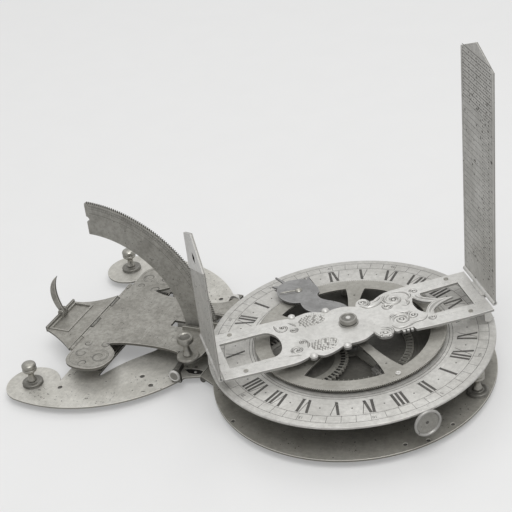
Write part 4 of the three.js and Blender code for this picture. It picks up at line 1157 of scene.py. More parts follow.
        # The hollows' near-black floors are painted shade for the shadowed gap beside the fold.
        floors = [plate([self.hollow(side, 0.06)], 0.25, self.floor_top, 0.02) for side in (-1, 1)]
        seat("fold_hollows", merged(floors), Body.STAND, GAP_SHADE)
        low = self.floor_top - 0.05
        head = [(0, low), (0.75, low), (0.75, 0.9), (0.5, 1.1), (0, 1.15)]
        heads = [turned(head, at(-77.6, y), 20, 0.04) for y in (-24.0, 24.0)]
        seat("hollow_rivets", merged(heads), Body.STAND, RULE_SILVER)
        for name, loops, body, finish, node in (
            ("base_round", self.round_loops(), Body.ROUND, BASE_BRASS, "base_plate"),
            ("base_stand", self.stand_loops(), Body.STAND, STAND_BRASS, "stand_plate"),
        ):
            seat(name, plate(loops, 0, self.thickness, self.bevel), body, finish, [node])
        self.knuckles()
        self.fasteners()


@dataclass
class Levelling:
    """A levelling screw in its boss, on one of the base plates."""

    key: str
    spot: Point
    plate_body: Body
    screw_body: Body
    level: float = BasePlates.thickness
    boss_radius: float = 5.2
    boss_height: float = 2.2
    bore: float = 2.0
    foot: float = -4.1
    knob: float = 3.8
    height: float = 10.5

    def boss(self) -> bpy.types.Mesh:
        """The turned boss."""
        profile = stretched((
            (1.04, 0), (1.04, 0.2), (0.96, 0.28), (0.96, 0.44), (1.04, 0.52), (1.04, 0.74), (0.94, 0.9),
            (0.8, 0.96), (0.6, 0.86), (0.5, 1),
        ), self.boss_radius, self.boss_height)
        profile = [(self.bore, 0), *profile, (self.bore, self.boss_height)]
        return turned(profile, at(*self.spot, self.level))

    def screw(self) -> bpy.types.Mesh:
        """The turned screw: tip, neck and flat round knob."""
        seat_z = self.level + self.boss_height + 0.3
        neck = softened(stretched((
            (0.62, 0), (0.6, 0.06), (0.5, 0.16), (0.42, 0.28), (0.42, 0.4), (0.56, 0.5),
        ), self.knob, self.height), 4)
        head = stretched((
            (0.86, 0.54), (0.98, 0.6), (1, 0.66), (0.97, 0.7), (0.84, 0.725), (0.86, 0.75), (0.97, 0.78),
            (1, 0.84), (0.95, 0.92), (0.8, 0.975), (0.5, 1), (0, 1),
        ), self.knob, self.height)
        foot, neck_radius, thread = self.foot, 1.7, 2.2
        low = [(0, foot), (1.5, foot), (thread, foot * 0.8), (thread, -1.4), (neck_radius, -1.0)]
        body = [(neck_radius, seat_z), *((r, z + seat_z) for r, z in neck + head)]
        return turned(low + body, at(*self.spot, 0), ease=0.1)

    def build(self) -> None:
        """Build and seat the screw and its boss."""
        seat(f"boss_{self.key}", self.boss(), self.plate_body, BOSS_BRASS, [f"screw_boss_{self.key}"])
        seat(f"level_screw_{self.key}", self.screw(), self.screw_body, SCREW_BRASS, [f"screw_{self.key}"])


# Stand


@dataclass
class Stand:
    """Cross bar, plumb plate with its horn, and the toothed latitude arc."""

    floor: float = BasePlates.thickness
    hinge: Point = (-144.0, 10.45)
    tip: float = 69.64
    root: float = 68.8
    inner: float = 50.6
    arc_half: float = 0.8
    arc_end: float = 88.0
    foot_top: float = 2.6
    under: float = 9.7
    top: float = 11.2
    plate_end: float = -166.4
    hinge_edge: float = -145.3
    horn_pin_y: float = -8.0
    rim_thick: float = 1.2
    bar_half: float = 37.0
    bar_top: float = 2.8
    pivot: Spot = (-83.0, 35.0, 5.6)
    lug_half: float = 2.7
    lug_thick: float = 2.0

    def upright(self, y: float = 0.0) -> Matrix:
        """Place of a drawing across and up from the tilt hinge, at a distance along Y."""
        return at(self.hinge[0], y, self.hinge[1]) @ spin(90, "X")

    def arc(self) -> bpy.types.Mesh:
        """The upright arc, one tooth to a degree."""
        drop = self.hinge[1] - self.foot_top
        first = math.ceil(-math.degrees(math.asin(drop / self.tip)))
        edge: Loop = [(math.sqrt(self.root ** 2 - drop ** 2), -drop)]
        edge += toothed(self.tip, self.root, 360, first, int(self.arc_end) - 1)
        middle, notch = (self.root + self.inner) / 2, 1.6
        edge += [polar(self.root, self.arc_end), polar(middle + notch, self.arc_end)]
        edge += sweep(notch, self.arc_end - 8, self.arc_end - 172, 8, polar(middle, self.arc_end))
        edge += [polar(middle - notch, self.arc_end)]
        start = -math.degrees(math.asin(drop / self.inner))
        edge += sweep(self.inner, self.arc_end, start, 120)
        return plate([edge], -self.arc_half, self.arc_half, 0.1, self.upright())

    def arc_scale(self) -> bpy.types.Mesh:
        """Degree marks and two border lines, engraved on both faces of the arc."""
        marks = []
        for face in (-1, 1):
            level = self.upright(face * self.arc_half)
            for count, step, length, base in ((81, 1, 1.1, 66.6), (17, 5, 2.0, 65.7), (9, 10, 3.2, 64.5)):
                ring = row(mark_bar(length, 0.12), FAINT, count, base, 4, step)
                marks.append(placed(ring, level))
            for radius in (67.9, 66.4, 63.6):
                band = [*sweep(radius, 1, 86, 90), *sweep(radius - 0.12, 86, 1, 90)]
                marks.append(plate([band], -SHALLOW, SHALLOW, 0.001, level))
        return merged(marks)

    def plumb(self) -> bpy.types.Mesh:
        """The waisted plate with its shallow tray."""
        left, right = self.plate_end, self.hinge_edge
        edge: Loop = [(right, -35.4), (right, 16.6)]
        edge += bend([(right, 16.6), ((left + right) / 2, 5), (left, 5)])
        edge += [(left, 5), (left, -23)]
        edge += bend([(left, -23), ((left + right) / 2, -27.5), (right, -35.4)])[1:]
        tray = oblong(-164.9, -21, -154.9, 3)
        floor = plate([edge], self.under, self.top - 0.6, 0.05)
        walls = plate([edge, tray], self.top - 0.64, self.top, 0.12)
        frame_edge = oblong(-165.9, -22, -153.9, 4)
        lip = plate([frame_edge, tray], self.top - 0.05, self.top + 0.55, 0.14)
        return merged([floor, walls, lip])

    def tray_shade(self) -> bpy.types.Mesh:
        """Dark lines of painted shade in the creases round the tray's floor and round its lip."""
        lines = []
        for low, high, level in (
            ((-164.6, -20.7), (-155.2, 2.7), self.top - 0.6), ((-166.0, -22.2), (-153.7, 4.2), self.top),
        ):
            corners = [*oblong(*low, *high), low]
            for start, end in zip(corners, corners[1:]):
                lines.append(ridge([start, end], 0.55, SHALLOW, level, 0.0, 3))
        return merged(lines)

    def rim(self) -> bpy.types.Mesh:
        """Raised edge of the plumb plate, with the ears that hold the horn."""
        standing = at(self.plate_end, 0, 0) @ spin(-90, "Y")
        pieces = []
        for low, high, top, front, back, bevel in (
            (-23, -9.05, self.top + 1.5, 0.0, self.rim_thick, 0.15),
            (-6.95, 5, self.top + 1.5, 0.0, self.rim_thick, 0.15),
            (-9.1, -6.9, self.top - 0.7, 0.02, self.rim_thick - 0.02, 0.1),
        ):
            loop = oblong(self.under, low, top, high)
            pieces.append(plate([loop], front, back, bevel, standing))
        for y in (-9.05 - self.rim_thick, -6.95):
            ear = [(-167.6, 11.0), (-164.4, 11.45), *sweep(2.0, 0, 150, 14, (-165.6, 13.4)), (-167.6, 13.0)]
            pieces.append(plate([ear], -y - self.rim_thick, -y, 0.12, spin(90, "X")))
        return merged(pieces)

    def horn(self) -> bpy.types.Mesh:
        """Curved horn that the plumb line hangs from."""
        x, z = self.plate_end + 1.05, self.top + 2.1
        outer = bend([(-1.5, -0.6), (-7.2, 7.0), (-6.6, 17.2), (1.3, 23.0)], 24)
        inner = bend([(1.3, 23.0), (-2.7, 16.1), (-2.4, 8.0), (1.5, -0.6)], 24)
        loops = [moved(outer + inner + sweep(1.6, -20, -160, 8), (x, z)), circle(0.62, 16, (x, z))]
        return plate(loops, -self.horn_pin_y - 0.75, -self.horn_pin_y + 0.75, 0.25, spin(90, "X"))

    def pivots(self) -> None:
        """Lugs and large screw heads beside the fold."""
        x, y, z = self.pivot
        half, thick, floor = self.lug_half, self.lug_thick, self.floor
        head = [
            (0, 0), (3.1, 0), (3.1, 0.9), (2.9, 1.25), (2.5, 1.3), (2.3, 1.1), (0.5, 1.0), (0.4, 0.7),
            (0, 0.65),
        ]
        dish = [(0, 0.9), (2.2, 0.9), (2.2, 1.16), (0, 1.08)]
        for key, side, arm in (
            ("front", -1, [(-88.0, -22.0), (-87.0, -32.8), (-84.2, -32.8), (-85.2, -22.0)]),
            ("back", 1, [(-88.4, 22.0), (-84.8, 22.0), (-81.8, 43.0), (-85.4, 43.0)]),
        ):
            turn = at(x, side * y, z) @ spin(-90 * side, "X")
            crown = sweep(half, 0, 180, 20, (x, z))[1:-1]
            lug = [(x - half, floor), (x + half, floor), (x + half, z), *crown, (x - half, z)]
            low = -y if side > 0 else y - thick
            mesh = plate([lug], low, low + thick, 0.15, spin(90, "X"))
            seat(f"lug_{key}", mesh, Body.STAND, BOSS_BRASS, [f"pivot_lug_{key}"])
            seat(f"pivot_head_{key}", turned(head, turn), Body.STAND, RULE_SILVER, [f"pivot_screw_{key}"])
            seat(f"pivot_dish_{key}", turned(dish, turn), Body.STAND, NUT_BRASS)
            seat(f"lug_arm_{key}", plate([arm], floor - 0.05, 4.4, 0.2), Body.STAND, BOSS_BRASS)
        cap = [
            (0, 0), (1.4, 0), (1.4, 0.7), (2.3, 0.8), (2.4, 1.3), (2.1, 1.65), (0.5, 1.6), (0.4, 1.3),
            (0, 1.3),
        ]
        seat("lug_cap", turned(cap, at(x - 1.6, y + 3.4, 4.35), 32, 0.08), Body.STAND, RULE_SILVER)

    def risers(self) -> None:
        """Cross bar and the risers of the tilt hinge."""
        (x, z), right, half = self.hinge, BasePlates.window_left, self.bar_half
        bar = oblong(x, -half, right, half)
        mesh = plate([bar], self.floor, self.bar_top, 0.25)
        # The bar and the risers take the dark boss brass as painted shade: they lie in the tilting plate's
        # shadow.
        seat("stand_bar", mesh, Body.STAND, BOSS_BRASS, ["cross_bar"])
        dress(BOSS_BRASS, "riser_front", "riser_back")
        barrels = [rod(1.15, (x, low, z), (x, high, z)) for low, high in ((-35.2, -24.2), (24.2, 28.5))]
        seat("hinge_tubes", merged(barrels), Body.STAND, FRAME_BRASS)
        dress(STEEL, "tilt_pin", "horn_pin")
        reach = 31
        screw = screw_head(1.7, 0.45, at(-131, -reach, self.bar_top))
        screws = row(screw, SCREW_BRASS, 2, shift=(0, 2 * reach, 0))
        seat("bar_screws", screws, Body.STAND, SCREW_BRASS)

    def build(self) -> None:
        """Build and seat the stand's pieces."""
        seat("toothed_arc", self.arc(), Body.STAND, ARC_BRASS, ["latitude_arc"])
        seat("arc_divisions", self.arc_scale(), Body.STAND, FAINT)
        foot = oblong(-93.4, -5, -75.6, 5)
        mesh = plate([foot], self.floor, self.foot_top, 0.2)
        seat("arc_flange", mesh, Body.STAND, ARC_BRASS, ["arc_foot"])
        screws = []
        for y in (-3.1, 3.1):
            screw = screw_head(1.3, 0.4, at(-90.5, y, self.foot_top))
            screws.append(row(screw, SCREW_BRASS, 2, shift=(12.0, 0, 0)))
        seat("arc_foot_screws", merged(screws), Body.STAND, SCREW_BRASS)
        seat("plumb_tray", self.plumb(), Body.STAND, FRAME_BRASS, ["plumb_plate"])
        seat("plumb_edge", self.rim(), Body.STAND, FRAME_BRASS, ["plumb_rim"])
        # Painted shade in the tray's creases.
        seat("tray_lines", self.tray_shade(), Body.STAND, WORN_AND_SHADE)
        for key, face in (("front", -1), ("back", 1)):
            level = self.upright(face * (self.arc_half + 0.001))
            spots = [polar(r, a) for r, a in scattered((52, 6), (64, 86), 70, 20 + face)]
            seat(f"arc_pits_{key}", pits(spots, 0.5, 21, (), level), Body.STAND, WORN_AND_SHADE)
        seat("line_horn", self.horn(), Body.HORN, FRAME_BRASS, ["plumb_horn"])
        self.risers()
        self.pivots()


def screw_head(radius: float, height: float, place: Matrix) -> bpy.types.Mesh:
    """A low round screw head with a slot.

    Args:
        radius: Its radius.
        height: Its height.
        place: Where its underside is.

    Returns:
        A closed mesh.
    """
    slot = radius * 0.14
    start = math.degrees(math.asin(slot / radius))
    arch = [polar(radius, start + (180 - 2 * start) * i / 14) for i in range(15)]
    shapes = [
        plate([[(-side * x, -side * y) for x, y in arch]], height * 0.4, height, height * 0.16)
        for side in (-1, 1)
    ]
    shapes.append(disc(radius, 0, height * 0.5, None, 28, 0.02))
    return placed(merged(shapes), place)


# Tilting frame


@dataclass
class TiltFrame:
    """Lobed tilting plate with its cheeks, clamp screw and engraved scrolls."""

    under: float = 9.7
    top: float = 11.2
    hinge_edge: float = -142.7
    stem: float = 21.7
    lobe_x: float = -131.0
    lobe_half: float = 13.2
    lobe_y: float = 49.0
    clamp: Point = (-79.4, -25.2)
    clamp_rise: float = 11.0
    clamp_foot: float = 12.6
    cheek_faces: Point = (2.9, 4.5)

    def side_outline(self) -> Loop:
        """The back half of the outline, from the tongue to the hinge edge."""
        right, left = self.lobe_x + self.lobe_half, self.lobe_x - self.lobe_half
        middle = (self.stem + self.lobe_y) / 2 + 1.5
        run: Loop = [(-42, 0), (-42, 19), (-72.7, 19)]
        run += bend([(-72.7, 19), (-73, 30), (-80, 30)], 14)
        run += bend([(-80, 30), (-80.3, self.stem), (-101.7, self.stem)], 14)
        run += bend([(-101.7, self.stem), (-122, self.stem + 0.4), (-127, self.stem * 1.2)], 8)
        run += bend([(-127, self.stem * 1.2), (right, middle - 6), (right, middle)], 14)
        run += bend([(right, middle), (right, self.lobe_y), (self.lobe_x, self.lobe_y)], 16)
        run += bend([(self.lobe_x, self.lobe_y), (left, self.lobe_y), (left + 1.5, middle)], 16)
        run += [(left + 1.5, middle), (self.hinge_edge, self.stem * 1.4)]
        return run

    def body(self) -> bpy.types.Mesh:
        """The plate with its slot and its hinge knuckles."""
        back = self.side_outline()
        front = [(x, -y) for x, y in reversed(back)][:-1]
        outline = back[1:] + front
        slot = oblong(-102, -2.6, -66.5, 2.6)
        hole = circle(0.9, 20, (-85.9, -23.1))
        parts = [plate([outline, slot, hole], self.under, self.top, 0.14)]
        x, z = Stand.hinge
        for centre, half in ((-19.3, 4.5), (0, 5.7), (19.3, 4.5)):
            low, high = centre - half, centre + half
            parts.append(rod(1.0, (x, low, z), (x, high, z)))
            web = oblong(x + 0.1, low, x + 1.7, high)
            parts.append(plate([web], 10.1, 11.15, 0.1))
        return merged(parts)

    def scrolls(self) -> bpy.types.Mesh:
        """Engraved volutes on the lobes and by the hinge, cut as fine lines."""
        lines = []
        for side in (-1, 1):
            for x, y, size, turns, start in (
                (-125.5, 37.5, 6.2, 1.6, 200), (-136.2, 37.0, 4.6, -1.4, -20), (-131.0, 44.6, 3.0, 1.2, 90),
                (-127.0, 27.0, 3.2, -1.2, 250), (-137.5, 28.5, 2.6, 1.2, -60),
            ):
                scroll = spiral((x, side * y), size, side * turns, side * start)
                lines.append(ridge(scroll, 0.5, SHALLOW, self.top, 0.4, 3))
                echo = spiral((x, side * y), size * 0.84, side * turns * 0.7, side * (start + 12), 0.4)
                lines.append(ridge(echo, 0.35, SHALLOW, self.top, 0.5, 3))
            border = [(x, side * y) for x, y in self.side_outline() if x < -104]
            centre = Vector((-126, side * 30))
            inset = [tuple(Vector(p).lerp(centre, 0.09)) for p in border[4:-1]]
            lines.append(ridge(inset, 0.22, FLUSH, self.top, 0.02, 3))
        return merged(lines)

    def cheek(self, low: float, high: float) -> bpy.types.Mesh:
        """One steel cheek.

        Args:
            low: Its front face.
            high: Its back face.

        Returns:
            The mesh.
        """
        edge: Loop = [(-67.8, 11.2), (-67.8, 18.7), (-75.5, 18.7)]
        edge += bend([(-75.5, 18.7), (-79.5, 18.7), (-80.5, 13.6), (-86.0, 13.6)], 12)
        edge += [*sweep(1.2, 90, 180, 8, (-92.6, 12.4)), (-93.8, 11.2)]
        bore = circle(1.32, 24, (-71.27, 14.9))
        return plate([edge, bore], -high, -low, 0.18, spin(90, "X"))

    def clamp_screw(self) -> bpy.types.Mesh:
        """Clamp screw with its waisted neck and dished head."""
        neck = softened(stretched((
            (2.6, 0), (2.55, 0.06), (2.0, 0.2), (1.65, 0.42), (1.75, 0.58), (2.4, 0.655),
        ), 1, self.clamp_rise), 4)
        head = stretched((
            (3.8, 0.68), (4.2, 0.73), (4.3, 0.8), (4.25, 0.9), (4.1, 0.96), (3.8, 1), (3.3, 0.995),
            (2.6, 0.94), (1.3, 0.875), (0, 0.86),
        ), 1, self.clamp_rise)
        return turned([(0, 0), *neck, *head], at(*self.clamp, self.clamp_foot), ease=0.1)

    def build(self) -> None:
        """Build and seat the frame's pieces."""
        seat("tilting_plate", self.body(), Body.TILT, FRAME_BRASS, ["tilt_plate"])
        seat("tilt_engraving", self.scrolls(), Body.TILT, FAINT)
        flat = scattered((-140, -19), (-84, 19), 90, 11)
        for side in (-1, 1):
            flat += [polar(r, a, (self.lobe_x, side * 38)) for r, a in scattered((1, 0), (9, 360), 16, 12)]
        slot = [(x, 0.0) for x in range(-102, -84, 2)]
        seat("tilt_pits", pits(flat, 0.55, 13, slot, at(0, 0, self.top)), Body.TILT, WORN_AND_SHADE)
        near, far = self.cheek_faces
        for key, low, high in (("front", -far, -near), ("back", near, far)):
            seat(f"steel_cheek_{key}", self.cheek(low, high), Body.TILT, FRAME_BRASS, [f"cheek_{key}"])
        dress(STEEL, "pinion")
        boss = [(0, 0), (5.8, 0), (5.8, 0.5), (5.3, 1.1), (0, 1.1)]
        mesh = turned(boss, at(*self.clamp, self.top))
        seat("clamp_seat", mesh, Body.TILT, FRAME_BRASS, ["clamp_boss"])
        seat("clamp_knob", self.clamp_screw(), Body.CLAMP, SCREW_BRASS, ["clamp_screw"])
        dish = [(0, 22.0), (2.9, 22.0), (2.9, 23.15), (1.4, 22.55), (0, 22.45)]
        seat("clamp_dish", turned(dish, at(*self.clamp, 0), 40, 0.05), Body.CLAMP, BOSS_BRASS)


# Dial


class Numeral(Enum):
    """Roman numerals of the hour ring."""

    I, II, III, IV, V, VI, VII, VIII, IX, X, XI, XII = range(1, 13)


@dataclass
class Dial:
    """Hour ring with its engraving, the plate under it and the pillars."""

    outer: float = 71.0
    inner: float = 44.0
    under: float = 19.0
    top: float = 20.2
    foot: float = 52.4
    head: float = 61.9
    thick: float = 1.4
    thin: float = 0.32
    letter: float = 4.1
    bar: float = 2.25
    slant: float = 0.3
    serif: float = 0.12
    floor_top: float = 12.2
    hours: int = 24
    minutes: int = 60

    def stroke(self, start: Point, end: Point, width: float) -> bpy.types.Mesh:
        """One engraved stroke of a numeral, square at its ends.

        Args:
            start: Foot of the stroke.
            end: Head of the stroke.
            width: Its width.

        Returns:
            A closed mesh.
        """
        half = width / 2
        (x0, y0), (x1, y1) = start, end
        corners = [(x0, y0 - half), (x1, y1 - half), (x1, y1 + half), (x0, y0 + half)]
        return prism(corners, self.top - SHALLOW, self.top + FLUSH)

    def numeral(self, name: str) -> bpy.types.Mesh:
        """A numeral lying along +X, its head outwards and its reading way towards minus Y.

        Args:
            name: The numeral's letters.

        Returns:
            A mesh.
        """
        widths = {"I": self.bar, "V": self.letter, "X": self.letter}
        across = sum(widths[letter] for letter in name) / 2
        strokes = []
        for letter in name:
            wide = widths[letter]
            middle = across - wide / 2
            reach = (wide - self.thick) / 2 + 0.35
            for low, high, width in {
                "I": ((0, 0, self.thick),),
                "V": ((-self.slant, reach, self.thick), (-self.slant, -reach - self.slant, self.thin)),
                "X": ((-reach, reach, self.thick), (reach, -reach, self.thin)),
            }[letter]:
                strokes.append(self.stroke((self.foot, middle + low), (self.head, middle + high), width))
            for level in (self.foot, self.head) if letter == "I" else ():
                start, end = (level - self.serif, middle), (level + self.serif, middle)
                strokes.append(self.stroke(start, end, self.thick * 1.5))
            across -= wide
        return merged(strokes)

    def numerals(self) -> bpy.types.Mesh:
        """All the hour numerals, twice twelve."""
        meshes = []
        for place in range(self.hours):
            mesh = self.numeral(Numeral(-place % 12 or 12).name)
            meshes.append(placed(mesh, spin(360 * place / self.hours)))
        return merged(meshes)

    def divisions(self) -> bpy.types.Mesh:
        """Circles, minute marks and half hour dots."""
        marks = [line_ring(radius, width, self.top) for radius, width in (
            (48.6, 0.25), (50.2, 0.22), (62.7, 0.2), (67.6, 0.2), (45.4, 0.3),
        )]
        minute = mark_bar(4.9, 0.2, FLUSH, at(0, 0, self.top))
        marks.append(row(minute, FAINT, self.minutes, 62.7, 0, 360 / self.minutes))
        dot = disc(0.42, -SHALLOW, FLUSH, at(0, 0, self.top), 10)
        step = 360 / self.hours
        marks.append(row(dot, FAINT, self.hours, 57.2, step / 2, step))
        return merged(marks)

    def figures(self) -> bpy.types.Mesh:
        """Small minute figures in the outer band, one at each fifth mark."""
        meshes = []
        for place in range(12):
            text = bpy.data.curves.new("figures", "FONT")
            text.body = str(60 - 5 * place)
            text.size = 2.3
            text.align_x = "CENTER"
            text.align_y = "CENTER"
            text.extrude = 0.025
            mesh = evaluated(bpy.data.objects.new("figures", text))
            bpy.data.curves.remove(text)
            meshes.append(placed(mesh, spin(30 * place) @ at(65.5, 1.6, self.top) @ spin(-90)))
        return merged(meshes)

    def build(self) -> None:
        """Build and seat the dial."""
        sunk = self.top - 0.12
        step = [
            (self.inner, self.under), (self.outer, self.under), (self.outer, self.top - 0.25),
            (self.outer - 0.3, self.top), (45.9, self.top), (45.6, sunk), (self.inner, sunk),
        ]
        seat("dial_ring", turned(step, None, 256, 0.08), Body.TILT, RING_SILVER, ["hour_ring"])
        seat("hour_numerals", self.numerals(), Body.TILT, WAX_AND_SHADOW)
        seat("minute_divisions", self.divisions(), Body.TILT, FAINT)
        seat("minute_figures", self.figures(), Body.TILT, FAINT)
        floor = [(0, 11.2), (58, 11.2), (58, 12.0), (57.8, self.floor_top), (0, self.floor_top)]
        # The floor's dark finish is painted shade for the inside of the dial.
        seat("dial_floor", turned(floor, None, 192, 0.08), Body.TILT, INNER_BRASS, ["under_plate"])
        pillar = [
            (0, self.floor_top), (2.2, self.floor_top), (2.2, 13.2), (1.6, 13.9), (1.5, 15.6), (1.6, 17.3),
            (2.2, 18.0), (2.2, self.under), (0, self.under),
        ]
        pillars = row(turned(pillar, None, 24), GEAR_BRASS, 4, 51.5, 25, 90)
        seat("dial_pillars", pillars, Body.TILT, GEAR_BRASS, [f"pillar_{n}" for n in range(1, 5)])


@dataclass
class Movement:
    """Hour wheel, gears, arbor and drive knob."""

    radius: float = 47.4
    rim_inner: float = 39.6
    under: float = 21.9
    top: float = 22.9
    hub: float = 11.0
    spokes: int = 5
    spoke_start: float = -36.6
    teeth: int = 300
    knob_angle: float = -41.0
    knob_reach: float = 74.3
    knob_z: float = 16.5167
    shaft: float = 1.3
    shaft_end: float = -48.0
    crown_teeth: int = 72
    spur_teeth: int = 60
    spur_angle: float = -132.0
    spur_top: float = 16.8
    spur_radius: float = 23.0
    spur_circle: float = 27.7

    def gap(self, index: int) -> Loop:
        """One opening between two spokes, with rounded corners.

        Args:
            index: Which opening.

        Returns:
            Its outline.
        """
        first = self.spoke_start + 360 * index / self.spokes
        last = first + 360 / self.spokes

        def beside(radius: float, half: float) -> tuple[float, float]:
            """Angles at a radius that lie half a spoke's width from both spokes."""
            off = math.degrees(half / radius)
            return first + off, last - off

        (rim_a, rim_b), (hub_a, hub_b) = beside(self.rim_inner, 5.0), beside(self.hub, 2.2)
        far_a, far_b = (polar(34.0, angle) for angle in beside(34.0, 3.2))
        mid_a, mid_b = (polar(23.0, angle) for angle in beside(23.0, 2.4))
        loop = sweep(self.rim_inner, rim_a, rim_b, 40)
        loop += bend([loop[-1], far_b, mid_b], 8)[1:]
        loop += [mid_b, *sweep(self.hub, hub_b, hub_a, 10)]
        return cleaned(loop + bend([mid_a, far_a, loop[0]], 8), 0.05)

    def wheel(self) -> bpy.types.Mesh:
        """The spoked wheel with its fine teeth."""
        edge = toothed(self.radius, self.radius - 0.7, self.teeth, 0, self.teeth - 1)
        gaps = [self.gap(index) for index in range(self.spokes)]
        return plate([edge, *gaps], self.under, self.top, 0.1)

    def knob(self) -> bpy.types.Mesh:
        """Flat disc with a raised edge and a centre dimple, on its level shaft."""
        face = [
            (0, self.shaft_end), (self.shaft, self.shaft_end), (self.shaft, 0), (5.2, 0.05), (6.6, 0.2),
            (6.9, 0.6), (6.9, 1.15), (6.75, 1.5), (6.4, 1.7), (6.0, 1.68), (5.7, 1.4), (5.4, 0.7),
            (3.4, 0.4), (0, 0.35),
        ]
        return turned(face, self.on_shaft(), 96, 0.08)

    def on_shaft(self, reach: float = knob_reach) -> Matrix:
        """Place on the knob's level shaft, at a distance from the axis, of a drawing about Z."""
        return spin(self.knob_angle) @ at(reach, 0, self.knob_z) @ spin(90, "Y")

    def spur_face(self) -> None:
        """Turned rim, sunk web and painted shade in the gaps by the teeth, on the face of the spur gear."""
        place = at(*polar(self.spur_circle, self.spur_angle), self.spur_top)
        reach, root = self.spur_radius, -0.05
        inner, outer = reach * 0.74, reach * 0.86
        rim = [
            (inner, root), (outer, root), (outer, 0.2), (reach * 0.83, 0.28), (reach * 0.77, 0.28),
            (inner, 0.2),
        ]
        seat("spur_rim", turned(rim, place, 96, 0.03), Body.SPUR, GEAR_BRASS)
        web = oblong(3.0, root, inner, 0.05)
        seat("spur_web", turned(web, place, 96, 0.0), Body.SPUR, BOSS_BRASS)
        # Near-black slots by the teeth: painted shade in the tooth gaps.
        slot = mark_bar(reach * 0.09, 1.3, 0.06)
        count, turn = self.spur_teeth, self.spur_angle + 180
        slots = row(slot, GAP_SHADE, count, reach * 0.875, turn, 360 / count)
        seat("spur_gaps", slots, Body.SPUR, GAP_SHADE, (), place)

    def build(self) -> None:
        """Build and seat the movement."""
        seat("spoked_wheel", self.wheel(), Body.WHEEL, WHEEL_BRASS, ["hour_wheel"])
        screw = screw_head(1.35, 0.55, at(*polar(43.2, self.spoke_start), self.top))
        seat("rim_screw", screw, Body.WHEEL, RULE_SILVER, ["wheel_screw"])
        pin = turned([(0, 0), (0.55, 0), (0.55, 0.12), (0, 0.2)], at(0, 0, self.top - 0.02), 12)
        pins = row(pin, GEAR_BRASS, self.spokes, 33.0, self.spoke_start, 360 / self.spokes)
        seat("spoke_pins", pins, Body.WHEEL, INNER_BRASS)
        dress(GEAR_BRASS, "crown_wheel", "spur_gear", "gear_cock", "shaft_bearing")
        # Near-black bars between the crown wheel's teeth: painted shade in the tooth gaps.
        gap = mark_bar(2.9, 1.4, 0.05, at(0, 0, 13.5))
        step = 360 / self.crown_teeth
        gaps = row(gap, GAP_SHADE, self.crown_teeth, 27.3, self.knob_angle + step / 2, step)
        seat("crown_gaps", gaps, Body.WHEEL, GAP_SHADE)
        self.spur_face()
        dress(STEEL, "arbor")
        collar = [(0, 0), (6.5, 0), (6.5, 0.8), (3.4, 0.8), (3.4, 4.1), (0, 4.1)]
        seat("hand_collar", turned(collar, at(0, 0, self.top)), Body.WHEEL, STEEL, ["collar"])
        leaves = plate([toothed(2.9, 1.7, 6, 0, 5)], 0, 5.2, 0.1, self.on_shaft(26.4))
        seat("turning_knob", merged([self.knob(), leaves]), Body.KNOB, KNOB_SILVER, ["drive_knob"])
        dish = [
            (0, 0.3), (5.4, 0.3), (5.4, 0.9), (4.9, 0.8), (3.4, 0.62), (3.1, 0.5), (1.2, 0.46), (0, 0.46),
        ]
        seat("knob_dish", turned(dish, self.on_shaft(), 64, 0.05), Body.KNOB, NUT_BRASS)
        seat("knob_dimple", disc(0.8, 0.3, 0.5, self.on_shaft()), Body.KNOB, WAX_AND_SHADOW)


@dataclass
class Hand:
    """Lobed steel hand under the alidade."""

    angle: float = 146.0
    under: float = 24.2
    top: float = 25.3
    ring: float = 8.0

    def outline(self) -> Loop:
        """The hand's outline with its two lobes, needle and prongs, along +X."""
        back = softened([
            (3.0, -7.4), (10, -9.3), (18.7, -10.2), (24.7, -8.2), (28.5, -5.9), (32.4, -4.3), (36.5, -5.0),
        ], 5)
        back += softened([(38.0, -7.3), (41.6, -8.9), (46.8, -9.3), (50.5, -9.9)], 5)
        prong = [(54.4, -10.8), (52.2, -8.7)]
        head = softened([(54.1, -7.4), (55.8, -4.4), (57.4, -0.8), (57.6, 1.3)], 5)
        needle = [(65.0, 2.2), (65.0, 2.9), (57.4, 2.6)]
        chin = softened([(57.2, 4.4), (56.6, 6.0)], 4) + [(58.6, 8.8), (55.2, 7.6)]
        lobe = softened([(54.0, 8.7), (50.3, 10.6), (45.6, 11.3), (40.6, 10.2), (37.3, 8.0)], 5)
        front = softened([
            (35.8, 5.8), (32.2, 6.9), (28.7, 7.1), (25, 6.2), (21.2, 4.2), (14, 4.4), (6.3, 5.0),
        ], 5)
        ring = sweep(self.ring, 40, 290, 40)
        return back + prong + head + needle + chin + lobe + front + ring

    def build(self) -> None:
        """Build and seat the hand, its pin, the needle that lies on it and the needle's painted shadow."""
        turn = spin(self.angle)
        mesh = plate([self.outline(), circle(3.7, 40)], self.under, self.top, 0.2, turn)
        seat("lobed_hand", mesh, Body.HAND, STEEL, ["set_hand"])
        stud = [(0, 0), (1.9, 0), (1.9, 0.3), (1.4, 0.75), (0.6, 1.0), (0, 1.05)]
        parts = [turned(stud, at(46.0, 0.3, self.top - 0.05), 32, 0.06)]
        needle = [(46.0, 0.3), (47.4, 3.2), (48.8, 6.2), (50.2, 9.4)]
        parts.append(ridge(softened(needle, 4), 0.8, 0.5, self.top, 0.3, 6))
        seat("hand_rivet", merged(parts), Body.HAND, SCREW_BRASS, ["hand_stud"], turn)
        # A dark line beside the needle: its painted shadow on the hand.
        shade = [(44.0, -0.2), (45.4, 3.6), (47.6, 7.6), (49.6, 10.2)]
        line = ridge(softened(shade, 4), 0.45, SHALLOW, self.top, 0.3, 3)
        seat("hand_line", line, Body.HAND, WAX_AND_SHADOW, (), turn)


# Alidade and sights


